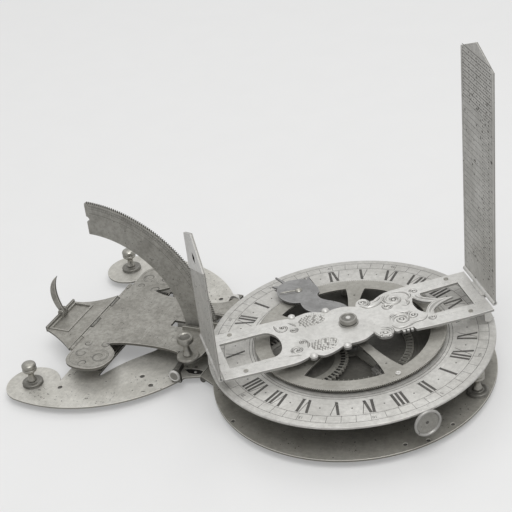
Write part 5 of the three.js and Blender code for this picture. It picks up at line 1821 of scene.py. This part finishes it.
@dataclass
class Alidade:
    """Sighting rule with its windows, carved scrolls, nut, screws and hook."""

    angle: float = 40.0
    half: float = 68.0
    side: float = 19.8
    under: float = 27.0
    top: float = 28.5
    eye: float = 2.0
    lift: float = 0.55
    margin: float = 0.9
    hinge: Point = (69.7, 29.4)
    knuckle: float = 6.8
    front_balls: tuple[Point, ...] = ((-23.7, -19.2), (-6.4, -17.8))
    back_balls: tuple[Point, ...] = ((-24.4, 17.0), (-7.3, 15.0))
    relief: list[bpy.types.Mesh] = field(default_factory=list)
    cuts: list[bpy.types.Mesh] = field(default_factory=list)

    def front_edge(self) -> Loop:
        """The front edge from left to right, with two round knops and a shell."""
        run: Loop = [(-self.half, -19.8), (-48.6, -20.6)]
        run += softened([(-38.9, -21.0), (-32.0, -20.9), (-26.6, -19.2)], 5)
        run += sweep(self.eye, 165, 375, 16, self.front_balls[0])
        run += softened([(-21.0, -19.6), (-18.8, -20.8), (-15.7, -20.5), (-12.0, -19.2), (-8.7, -17.4)], 5)
        run += sweep(self.eye, 165, 375, 16, self.front_balls[1])
        run += softened([(-3.9, -16.8), (0.0, -17.0), (3.8, -16.2), (7.0, -14.3), (9.2, -12.8)], 5)
        run += softened([(9.3, -15.6), (10.6, -18.2), (13.2, -19.4), (16.0, -18.9), (17.9, -16.0)], 5)
        run += softened([(18.8, -16.9), (20.4, -17.2), (21.4, -16.7)], 4)
        for tooth in (22.4, 24.4, 26.4):
            run += moved([(-0.7, -18.6), (0.5, -18.8), (0.7, -17.3), (1.2, -17.3)], (tooth, 0))
        run += [(28.2, -19.2), *softened([(36.0, -19.9), (54.9, -20.4), (self.half, -19.8)], 3)]
        return run

    def back_edge(self) -> Loop:
        """The back edge from left to right."""
        run: Loop = [(-self.half, 18.6), (-38.1, 17.8), (-30.4, 17.4), (-27.0, 16.7)]
        run += sweep(self.eye, 195, -15, 16, self.back_balls[0])
        run += softened([(-21.6, 16.8), (-17.3, 17.6), (-13.8, 17.0), (-9.9, 15.0)], 5)
        run += sweep(self.eye, 195, -15, 16, self.back_balls[1])
        run += softened([(-4.9, 14.3), (-2.3, 14.9), (2.7, 14.4), (7.6, 12.0)], 5)
        run += softened([(8.0, 13.4), (9.4, 15.9), (12.2, 17.3), (14.4, 16.0), (15.3, 13.2)], 5)
        run += softened([
            (17.4, 13.6), (21.5, 16.2), (25.8, 17.9), (31.9, 18.2), (38.7, 18.6), (50.8, 18.5),
            (self.half, 18.4),
        ], 4)
        return run

    def windows(self) -> list[Loop]:
        """The round-ended left window, and the right one with its two horns across it."""
        low, high = -11.9, 9.9
        left = [(-63.5, low)]
        left += bend([(-41.5, low), (-33.0, low + 1.0), (-33.0, high - 1.0), (-41.5, high)], 28)
        left += [(-41.5, high), (-63.5, high)]
        right = [(61.3, -11.1), (61.3, 10.4), (40.7, 9.4)]
        right += softened([(40.3, 7.4), (41.0, 5.2), (43.2, 3.6), (45.6, 1.5), (48.0, 0.7)], 5)
        right += softened([(50.6, 0.5), (52.6, 0.0), (54.4, -0.8)], 4)
        right += softened([
            (52.4, -1.2), (49.8, -1.8), (46.7, -3.0), (43.7, -5.1), (41.8, -7.4), (40.9, -10.4),
        ], 5)
        lens = softened([(35.9, 7.0), (34.5, 3.4), (34.2, -0.5), (35.0, -4.7), (37.2, -7.8)], 6)
        lens += softened([(38.2, -6.1), (39.6, -4.0), (41.9, -1.7), (44.4, -0.5)], 5)
        lens += softened([(42.5, 0.1), (39.6, 2.0), (37.4, 4.4)], 5)
        return [left, right, lens]

    def bar(self) -> bpy.types.Mesh:
        """The rule itself, with the middle knuckles of both sights."""
        outline = self.front_edge() + self.back_edge()[::-1]
        parts = [plate([outline, *self.windows()], self.under, self.top, 0.22)]
        half = self.knuckle
        for side in (-1, 1):
            hinge, inner, z = side * self.hinge[0], side * 66.9, self.hinge[1]
            parts.append(rod(1.3, (hinge, -half, z), (hinge, half, z)))
            low, high = sorted((inner, hinge))
            edge = half - 0.05
            web = oblong(low, -edge, high, edge)
            parts.append(plate([web], self.under + 0.05, 29.0, 0.1))
        return merged(parts)

    def raised(self, line: Loop, width: float, taper: float = 0.4) -> None:
        """A raised ridge with a dark cut line round it.

        Args:
            line: The line that it follows.
            width: Its width.
            taper: Share of its length that thins out at each end.
        """
        self.relief.append(ridge(line, width, width * self.lift, self.top, taper, 6))
        self.cuts.append(ridge(line, width + self.margin, SHALLOW, self.top, taper * 0.8, 3))

    def scroll(self, spot: Point, radius: float, turns: float, start: float, width: float) -> None:
        """A carved C-scroll with an eye and an outer echo.

        Args:
            spot: Where the scroll winds to.
            radius: Its outer radius.
            turns: Its number of turns, minus for the other hand.
            start: Angle of its outer end.
            width: Width of its ridge.
        """
        hand = 1 if turns > 0 else -1
        self.raised(spiral(spot, radius, turns, start, 0.3), width, 0.3)
        echo = spiral(spot, radius + width * 1.15, hand * 0.42, start + hand * 24, 0.7)
        self.raised(echo, width * 0.62, 0.5)
        self.knop(spot, width * 0.62, 0.5)

    def knop(self, spot: Point, radius: float, height: float) -> None:
        """A small round bead on a dark ground.

        Args:
            spot: Its centre.
            radius: Its radius.
            height: Its height.
        """
        bead = stretched(((0.9, 0.45), (0.5, 0.88), (0, 1)), radius, height)
        place = at(*spot, self.top)
        self.relief.append(turned([(0, -0.1), (radius, -0.1), *bead], place, 16))
        self.cuts.append(disc(radius + self.margin * 0.5, -SHALLOW, 0.04, place, 16))

    def leaf(self, root: Point, tip: Point, bulge: float, width: float) -> None:
        """A carved pointed leaf with a rib.

        Args:
            root: Where it starts.
            tip: Where it ends.
            bulge: How far it bows to one side.
            width: Its greatest width.
        """
        start, end = Vector(root), Vector(tip)
        way = (end - start).normalized()
        middle = start.lerp(end, 0.5) + Vector((-way.y, way.x)) * bulge
        line = bend([tuple(start), tuple(middle), tuple(end)], 14) + [tip]
        self.raised(line, width, 0.5)
        self.relief.append(ridge(line, width * 0.24, width * self.lift + 0.16, self.top, 0.5, 3))

    def shell(self, spot: Point, radius: float, first: float, last: float, count: int) -> None:
        """A fan of short flutes round a bead.

        Args:
            spot: Centre of the fan.
            radius: Its radius.
            first: Angle of its first flute.
            last: Angle of its last flute.
            count: Number of flutes.
        """
        for index in range(count):
            angle = first + (last - first) * index / (count - 1)
            line = [polar(radius * share, angle, spot) for share in (0.3, 0.5, 0.7, 0.86, 1.0)]
            self.raised(line, radius * 0.3, 0.3)
        bead = [(0, -0.1), (radius * 0.24, -0.1), (radius * 0.2, 0.35), (0, 0.5)]
        self.relief.append(turned(bead, at(*spot, self.top), 12))

    def carve(self) -> None:
        """Lay out the scrolls, leaves, shells and knops on both halves of the rule."""
        for spot, radius, turns, start, width in (
            ((-31.2, 9.6), 3.0, 1.2, 150, 0.62), ((-26.8, 5.6), 1.9, -1.1, 60, 0.5),
            ((-29.2, -11.6), 2.9, -1.2, -130, 0.62), ((-25.6, -6.2), 1.8, 1.1, -60, 0.5),
            ((26.8, 9.6), 4.7, 1.25, 100, 1.5), ((21.4, 5.8), 2.3, -1.1, 20, 0.9),
            ((24.6, -8.4), 4.3, -1.3, -170, 1.4), ((31.0, -7.2), 2.9, 1.15, 70, 1.0),
            ((11.8, 13.4), 2.7, 1.2, 240, 1.0), ((13.6, -15.8), 3.5, -1.3, 120, 1.2),
            ((38.6, 12.2), 1.7, -1.1, 200, 0.7), ((39.2, -13.0), 1.7, 1.1, 130, 0.7),
        ):
            self.scroll(spot, radius, turns, start, width)
        for line, width in (
            ([(9.6, 11.4), (12.6, 8.6), (17.0, 8.8), (20.6, 11.2), (24.0, 15.0)], 1.7),
            ([(27.6, 15.6), (31.4, 15.4), (34.4, 13.2), (35.4, 9.8), (33.4, 7.0)], 1.4),
            ([(18.6, -11.6), (20.2, -14.4), (24.6, -15.0), (29.6, -13.2), (34.6, -12.8), (37.4, -10.0)], 1.5),
            ([(28.8, 3.4), (31.2, 2.6), (32.8, 4.6), (32.2, 7.4)], 1.0),
            ([(19.2, -4.6), (22.4, -2.6), (27.4, -2.8), (30.4, -4.0)], 1.0),
        ):
            self.raised(softened(line, 7), width, 0.45)
        for root, tip, bulge, width in (
            ((-34.6, 13.6), (-33.0, 6.4), -1.4, 0.6), ((-27.6, 12.8), (-24.6, 8.0), 0.9, 0.6),
            ((-35.0, -14.6), (-29.0, -16.6), 1.0, 0.6), ((-24.4, -11.8), (-23.0, -6.4), -0.9, 0.6),
            ((16.2, 12.0), (21.6, 15.0), -1.0, 1.3), ((20.2, -17.0), (27.8, -17.2), 0.5, 0.9),
            ((8.8, -12.4), (10.4, -18.0), -0.8, 0.8), ((16.6, -17.8), (17.8, -12.2), -0.7, 0.8),
        ):
            self.leaf(root, tip, bulge, width)
        self.shell((13.6, -15.8), 3.9, 200, 340, 5)
        for spot in self.front_balls + self.back_balls:
            knop = [(0, 0), (1.95, 0), (1.9, 0.3), (1.5, 0.9), (0.8, 1.2), (0, 1.3)]
            self.relief.append(turned(knop, at(*spot, self.top - 0.02), 28, 0.15))

    def horns(self) -> bpy.types.Mesh:
        """Raised edges of the two horns.

        Returns:
            The sunk fields between the edges, which are of another tone.
        """
        fields = []
        for outer, inner in (
            (
                [(36.2, 8.8), (36.4, 7.1), (37.8, 4.8), (39.9, 2.6), (42.6, 0.8), (45.4, 0.2)],
                [(39.6, 8.6), (39.7, 7.2), (40.5, 4.9), (42.8, 3.1), (45.2, 1.0), (47.4, 0.2)],
            ),
            (
                [
                    (37.6, -8.4), (38.7, -6.1), (40.1, -4.1), (42.2, -1.9), (45.0, -0.5), (48.0, 0.0),
                    (53.6, -0.6),
                ],
                [(40.3, -9.8), (41.2, -7.7), (43.3, -5.5), (46.4, -3.5), (49.6, -2.2), (53.6, -1.1)],
            ),
        ):
            for line in (outer, inner):
                self.relief.append(ridge(softened(line, 6), 0.75, 0.4, self.top, 0.25, 6))
            middle = [tuple(Vector(a).lerp(Vector(b), 0.5)) for a, b in zip(outer, inner)]
            fields.append(ridge(softened(middle, 6), 1.9, FLUSH, self.top, 0.45, 3))
        return merged(fields)

    def scales(self) -> list[bpy.types.Mesh]:
        """Two patches of small overlapping scales, each with a dark crescent at its edge.

        Returns:
            The scales.
        """
        scales, grounds, pitch = [], [], 1.3
        for side, middle in ((1, 10.4), (-1, -12.2)):
            patch = softened([
                (-22.6, middle + side * 1.0), (-18.4, middle + side * 3.9), (-13.0, middle + side * 3.4),
                (-9.4, middle - side * 1.4), (-13.6, middle - side * 4.6), (-20.2, middle - side * 3.6),
            ], 5, True)
            grounds.append(plate([patch], self.top - SHALLOW, self.top + SHALLOW, 0.005))
            for line in range(8):
                y = middle - 4.3 + 1.24 * line
                reach = 6.4 * math.sqrt(max(0.08, 1 - ((y - middle) / 5.0) ** 2))
                count = max(2, int(2 * reach / pitch))
                bead = [(0, -0.05), (0.6, -0.05), (0.56, 0.16), (0.3, 0.34), (0, 0.38)]
                skew = 0.22 * side * (y - middle) + pitch / 2 * (line % 2)
                start = at(-15.8 - count * pitch / 2 + skew, y, self.top)
                scale = turned(bead, None, 8, 0.02)
                crescent = ridge(sweep(0.62, 100, 260, 6), 0.42, 0.04, 0.0, 0.3, 3)
                for mark in (scale, crescent):
                    mark.transform(start)
                scales.append(row(scale, RULE_SILVER, count, shift=(pitch, 0, 0), uneven=0.05))
                self.cuts.append(row(crescent, FAINT, count, shift=(pitch, 0, 0)))
        seat("scale_grounds", merged(grounds), Body.WHEEL, HORN_GROUND, (), spin(self.angle))
        return scales

    def border(self) -> bpy.types.Mesh:
        """Fine engraved lines beside the windows and along the frames."""
        lines = []
        for run in (
            [(-66.0, 12.2), (-36.0, 12.2)], [(-66.0, -14.2), (-36.0, -14.2)],
            [(40.0, 12.4), (65.0, 12.4)], [(40.0, -14.4), (65.0, -14.4)], [(64.0, -14.4), (64.0, 12.4)],
        ):
            lines.append(ridge(run, 0.14, FLUSH, self.top, 0.01, 3))
        return merged(lines)

    def nut(self) -> bpy.types.Mesh:
        """The centre nut: washer, drum and slotted top."""
        profile = [
            (0, 0), (4.9, 0), (4.9, 0.45), (4.5, 0.6), (3.5, 0.65), (3.5, 1.05), (4.25, 1.1), (4.3, 1.3),
            (4.3, 2.95), (4.05, 3.25), (3.3, 3.25), (3.1, 2.8), (0, 2.8),
        ]
        return turned(profile, at(0, 0, self.top), 64, 0.08)

    def build(self) -> None:
        """Build and seat the alidade."""
        turn = spin(self.angle)
        seat("sighting_rule", self.bar(), Body.WHEEL, RULE_SILVER, ["alidade"], turn)
        self.carve()
        self.relief += self.scales()
        seat("horn_fields", self.horns(), Body.WHEEL, HORN_GROUND, (), turn)
        self.cuts.append(self.border())
        seat("rule_carving", merged(self.relief), Body.WHEEL, RULE_SILVER, (), turn)
        seat("rule_lines", merged(self.cuts), Body.WHEEL, FAINT, (), turn)
        seat("top_nut", self.nut(), Body.WHEEL, NUT_BRASS, ["centre_nut"])
        dish = [(1.0, 2.7), (3.15, 2.7), (3.15, 2.92), (1.6, 2.86), (1.0, 2.86)]
        seat("nut_dish", turned(dish, at(0, 0, self.top), 48, 0.02), Body.WHEEL, BOSS_BRASS)
        tip = [(0, 2.6), (1.3, 2.6), (1.3, 3.1), (1.05, 3.4), (0, 3.45)]
        seat("arbor_tip", turned(tip, at(0, 0, self.top), 32, 0.08), Body.WHEEL, RULE_SILVER)
        heads = []
        for x, y, gap in ((57.2, -16.6, 32.2), (-56.8, -17.1, 32.6)):
            head = screw_head(1.2, 0.35, at(x, y, self.top - 0.02))
            heads.append(row(head, RULE_SILVER, 2, shift=(0, gap, 0)))
        seat("rule_screws", merged(heads), Body.WHEEL, SCREW_BRASS, (), turn)
        hook = [(63.0, self.under), (63.0, 23.4), *bend([(63.2, 22.6), (64.6, 21.7), (66.4, 21.8)], 6)]
        hook += [(68.0, 23.4), (66.5, 24.6), (66.5, self.under)]
        mesh = plate([hook], self.side - 1.0, self.side, 0.15, spin(90, "X"))
        seat("small_hook", mesh, Body.WHEEL, RULE_SILVER, ["edge_hook"], turn)
        dress(STEEL, "right_vane_pin", "left_vane_pin")


@dataclass
class Vane:
    """A gabled sight on its hinge at one end of the alidade.

    Its edges lie at front and back, its faces at low and high, and its gable rises over its shoulder.
    """

    name: str
    node: str
    body: Body
    side: int
    front: float
    shoulder: float
    rise: float
    lean: float
    ruled_rows: int
    low: float
    high: float
    back: float = 20.5
    gap_half: float = 7.1
    foot: float = 0.2
    hinge_top: float = 1.6
    ruling_step: float = 3.1
    dash_step: float = 1.7

    def stand(self) -> Matrix:
        """Turn from the drawing of the sight, across and up, to its place on the dial."""
        upright = Matrix(((0, 0, 1, 0), (1, 0, 0, 0), (0, 1, 0, 0), (0, 0, 0, 1)))
        reach, rise = Alidade.hinge
        return spin(Alidade.angle) @ at(self.side * reach, 0, rise) @ spin(self.lean, "Y") @ upright

    def panel(self) -> Loop:
        """Outline of the sight."""
        middle, gap, low = (self.front + self.back) / 2, self.gap_half, self.hinge_top
        return [
            (self.front, low), (-gap, low), (-gap, 2.0), (gap, 2.0), (gap, low), (self.back, low),
            (self.back, self.shoulder), (middle, self.shoulder + self.rise), (self.front, self.shoulder),
        ]

    def feet(self) -> tuple[Point, Point]:
        """Where the two parts of the hinge start and end, on both sides of the rule's knuckle."""
        return (self.front, -self.gap_half), (self.gap_half, self.back)

    def slit(self) -> Loop:
        """The level slit of the low sight."""
        return oblong(-2.6, 54.2, 2.6, 57.9)

    def plate_mesh(self) -> bpy.types.Mesh:
        """The panel down to its hinge."""
        loops = [self.panel()] + ([self.slit()] if self.side < 0 else [])
        parts = [plate(loops, self.low, self.high, 0.12, self.stand())]
        for start, end in self.feet():
            foot = oblong(start, self.foot, end, 2.2)
            parts.append(plate([foot], self.low, self.high, 0.12, self.stand()))
        return merged(parts)

    def barrels(self) -> bpy.types.Mesh:
        """Rolled barrels of the hinge."""
        return merged(rod(1.3, (start, 0, 0), (end, 0, 0)) for start, end in self.feet())

    def ruling(self) -> bpy.types.Mesh:
        """Fine ruled lines and rows of short marks on the inner face."""
        level = self.low if self.side > 0 else self.high
        lines = []
        edges = self.front + 2.0, self.back - 2.0
        turn = self.stand() @ at(0, 0, level) @ (spin(180, "Y") if self.side > 0 else Matrix())
        start, end = sorted(-self.side * edge for edge in edges)
        step = self.dash_step
        for index in range(int((self.shoulder - 8) / self.ruling_step)):
            y = self.shoulder + 1.5 - self.ruling_step * index
            bold = index < self.ruled_rows
            bar = mark_bar(end - start, 0.34 if bold else 0.13, place=turn @ at(start, y, 0))
            count = int((end - start) / 1.75) if bold else 6
            dashes = row(mark_bar(1.0, 0.75), FAINT, count, shift=(step, 0, 0), uneven=0.75)
            dashes.transform(turn @ at(end - 0.7 - step * count, y - 1.5, 0))
            lines += [bar, dashes]
        for x in edges:
            upright = turn @ at(-self.side * x, 5, 0) @ spin(90)
            lines.append(mark_bar(self.shoulder - 6, 0.13, FLUSH, upright))
        return merged(lines)

    def build(self) -> None:
        """Build and seat the sight."""
        seat(self.name, self.plate_mesh(), self.body, VANE_SILVER, [self.node])
        finish = RULE_SILVER if self.side > 0 else VANE_SILVER
        seat(f"{self.name}_barrels", self.barrels(), self.body, finish, (), self.stand())
        if self.ruled_rows:
            seat(f"{self.name}_ruling", self.ruling(), self.body, FAINT)
        inner, outer = (self.low, self.high) if self.side > 0 else (self.high, self.low)
        corners = (self.front + 1, 5), (self.back - 1, self.shoulder - 1)
        for key, level, seed, size in (("inner", inner, 31, 0.85), ("outer", outer, 32, 0.7)):
            spots = scattered(*corners, int(self.shoulder * 1.1), seed)
            face = pits(spots, size, seed + 2, (), self.stand() @ at(0, 0, level))
            seat(f"{self.name}_pits_{key}", face, self.body, WORN_AND_SHADE)
        if self.side < 0:
            # The facing's near-white tone is partly a painted reflection.
            facing = [(20.5, 39.5), (20.5, 59), (0, 69), (-20.5, 59), (-20.5, 58.7)]
            mesh = plate([facing, self.slit()], -1.0, -0.5, 0.1, self.stand())
            seat("slit_facing", mesh, self.body, FACING_SILVER_AND_REFLECTION, ["slit_plate"])
            # Near-black lining of the slit's walls: painted shade.
            lining = oblong(-2.25, 54.55, 2.25, 57.55)
            mesh = plate([self.slit(), lining], -1.0, 0.3, 0.02, self.stand())
            seat("slit_lining", mesh, self.body, GAP_SHADE)


# Studio


@dataclass
class Studio:
    """Pale table, soft lights and the camera."""

    floor_z: float = -0.0041
    eye: Spot = (0.23209, -0.49173, 0.39674)
    right: Spot = (0.8984, 0.4200, -0.1285)
    down: Spot = (0.1187, -0.5138, -0.8496)
    ahead: Spot = (-0.4229, 0.7481, -0.5115)
    lens: float = 93.94
    sensor: float = 36.0
    table_half: float = 4.0
    tones: tuple[Colour, Colour] = ((0.51, 0.51, 0.507), (0.53, 0.53, 0.527))
    fade_reach: Point = (0.9, 3.4)
    table_glow: float = 0.27
    far_glow: float = 0.6
    world_light: float = 0.6
    world_seen: float = 0.9
    lamp_side: float = 1.0
    aim: Spot = (-0.05, 0.0, 0.0)

    def camera(self) -> None:
        """Set the camera at the photograph's place and angle."""
        data = bpy.data.cameras.new("camera")
        data.lens = self.lens
        data.sensor_width = self.sensor
        data.clip_start = 0.02
        data.clip_end = 50.0
        camera = bpy.data.objects.new("camera", data)
        axes = (Vector(self.right), -Vector(self.down), -Vector(self.ahead))
        turn = Matrix([[axis[row_index] for axis in axes] for row_index in range(3)]).to_4x4()
        camera.matrix_world = Matrix.Translation(self.eye) @ turn
        bpy.context.scene.collection.objects.link(camera)
        bpy.context.scene.camera = camera

    def floor(self) -> None:
        """Lay the pale table."""
        half = self.table_half
        corners = [(x, y, self.floor_z) for x, y in oblong(-half, -half, half, half)]
        mesh = raw_mesh(corners, [(0, 1, 2, 3)])
        material = bpy.data.materials.new("pale_table")
        material.use_nodes = True
        tree = material.node_tree
        shader = tree.nodes["Principled BSDF"]
        shader.inputs["Roughness"].default_value = 0.95
        shader.inputs["Specular IOR Level"].default_value = 0.1
        shader.inputs["Emission Color"].default_value = WHITE
        coords = add_node(tree, "ShaderNodeTexCoord").outputs["Object"]
        noise = result(tree, "ShaderNodeTexNoise", in_Vector=coords, in_Scale=40.0, in_Detail=5.0)
        tones = (*self.tones[0], 1.0), (*self.tones[1], 1.0)
        tone = add_node(
            tree, "ShaderNodeMix", data_type="RGBA", in_0=noise, in_6=tones[0], in_7=tones[1]
        ).outputs[2]
        seen = add_node(tree, "ShaderNodeLightPath").outputs["Is Camera Ray"]
        far = add_node(tree, "ShaderNodeVectorMath", operation="LENGTH", in_0=coords).outputs["Value"]
        fade = between(tree, far, *self.fade_reach, in_3=self.table_glow, in_4=self.far_glow)
        glow = calc(tree, "MULTIPLY", seen, fade)
        for name, value in (("Base Color", tone), ("Emission Strength", glow)):
            tree.links.new(value, shader.inputs[name])
        mesh.materials.append(material)
        floor = bpy.data.objects.new("table", mesh)
        bpy.context.scene.collection.objects.link(floor)

    def lamp(self, name: str, spot: Spot, power: float) -> None:
        """Hang a soft square lamp that looks at the dial.

        Args:
            name: Its name.
            spot: Its place in metres.
            power: Its power in watts.
        """
        data = bpy.data.lights.new(name, "AREA")
        data.shape = "SQUARE"
        data.size = self.lamp_side
        data.energy = power
        lamp = bpy.data.objects.new(name, data)
        lamp.location = spot
        aim = Vector(self.aim) - Vector(spot)
        lamp.rotation_euler = aim.to_track_quat("-Z", "Y").to_euler()
        bpy.context.scene.collection.objects.link(lamp)

    def world(self) -> None:
        """Even grey light from all round, seen as white past the table's edge."""
        world = bpy.data.worlds.new("studio")
        world.use_nodes = True
        tree = world.node_tree
        background = tree.nodes["Background"]
        background.inputs["Color"].default_value = WHITE
        seen = add_node(tree, "ShaderNodeLightPath").outputs["Is Camera Ray"]
        strength = result(
            tree, "ShaderNodeMix", data_type="FLOAT", in_0=seen, in_2=self.world_light, in_3=self.world_seen
        )
        tree.links.new(strength, background.inputs["Strength"])
        bpy.context.scene.world = world

    def build(self) -> None:
        """Set up the studio."""
        self.camera()
        self.floor()
        self.world()
        self.lamp("key_lamp", (0.45, -0.5, 1.5), 13.0)
        self.lamp("fill_lamp", (-0.45, 0.7, 1.3), 3.0)
        bpy.context.scene.view_settings.view_transform = "Standard"


def main() -> None:
    """Build the studio and every sub-assembly in order."""
    logging.basicConfig(level=logging.INFO, format="%(message)s")
    random.seed(Row.seed)
    Studio().build()
    plates = BasePlates()
    plates.build()
    for key, spot, plate_body, screw_body in (
        ("front", plates.lobe(-1), Body.STAND, Body.LEVEL_FRONT),
        ("back", plates.lobe(1), Body.STAND, Body.LEVEL_BACK),
        ("right", plates.right_screw, Body.ROUND, Body.LEVEL_RIGHT),
    ):
        Levelling(key, spot, plate_body, screw_body).build()
    for part in (Stand(), TiltFrame(), Dial(), Movement(), Hand(), Alidade()):
        part.build()
    Vane(
        "high_vane", "right_vane", Body.HIGH, side=1, front=-17.0, shoulder=121, rise=8, lean=2,
        ruled_rows=9, low=-0.3, high=0.5,
    ).build()
    Vane(
        "low_vane", "left_vane", Body.LOW, side=-1, front=-20.5, shoulder=59, rise=10, lean=1,
        ruled_rows=0, low=-0.5, high=0.3,
    ).build()


if __name__ == "__main__":
    main()
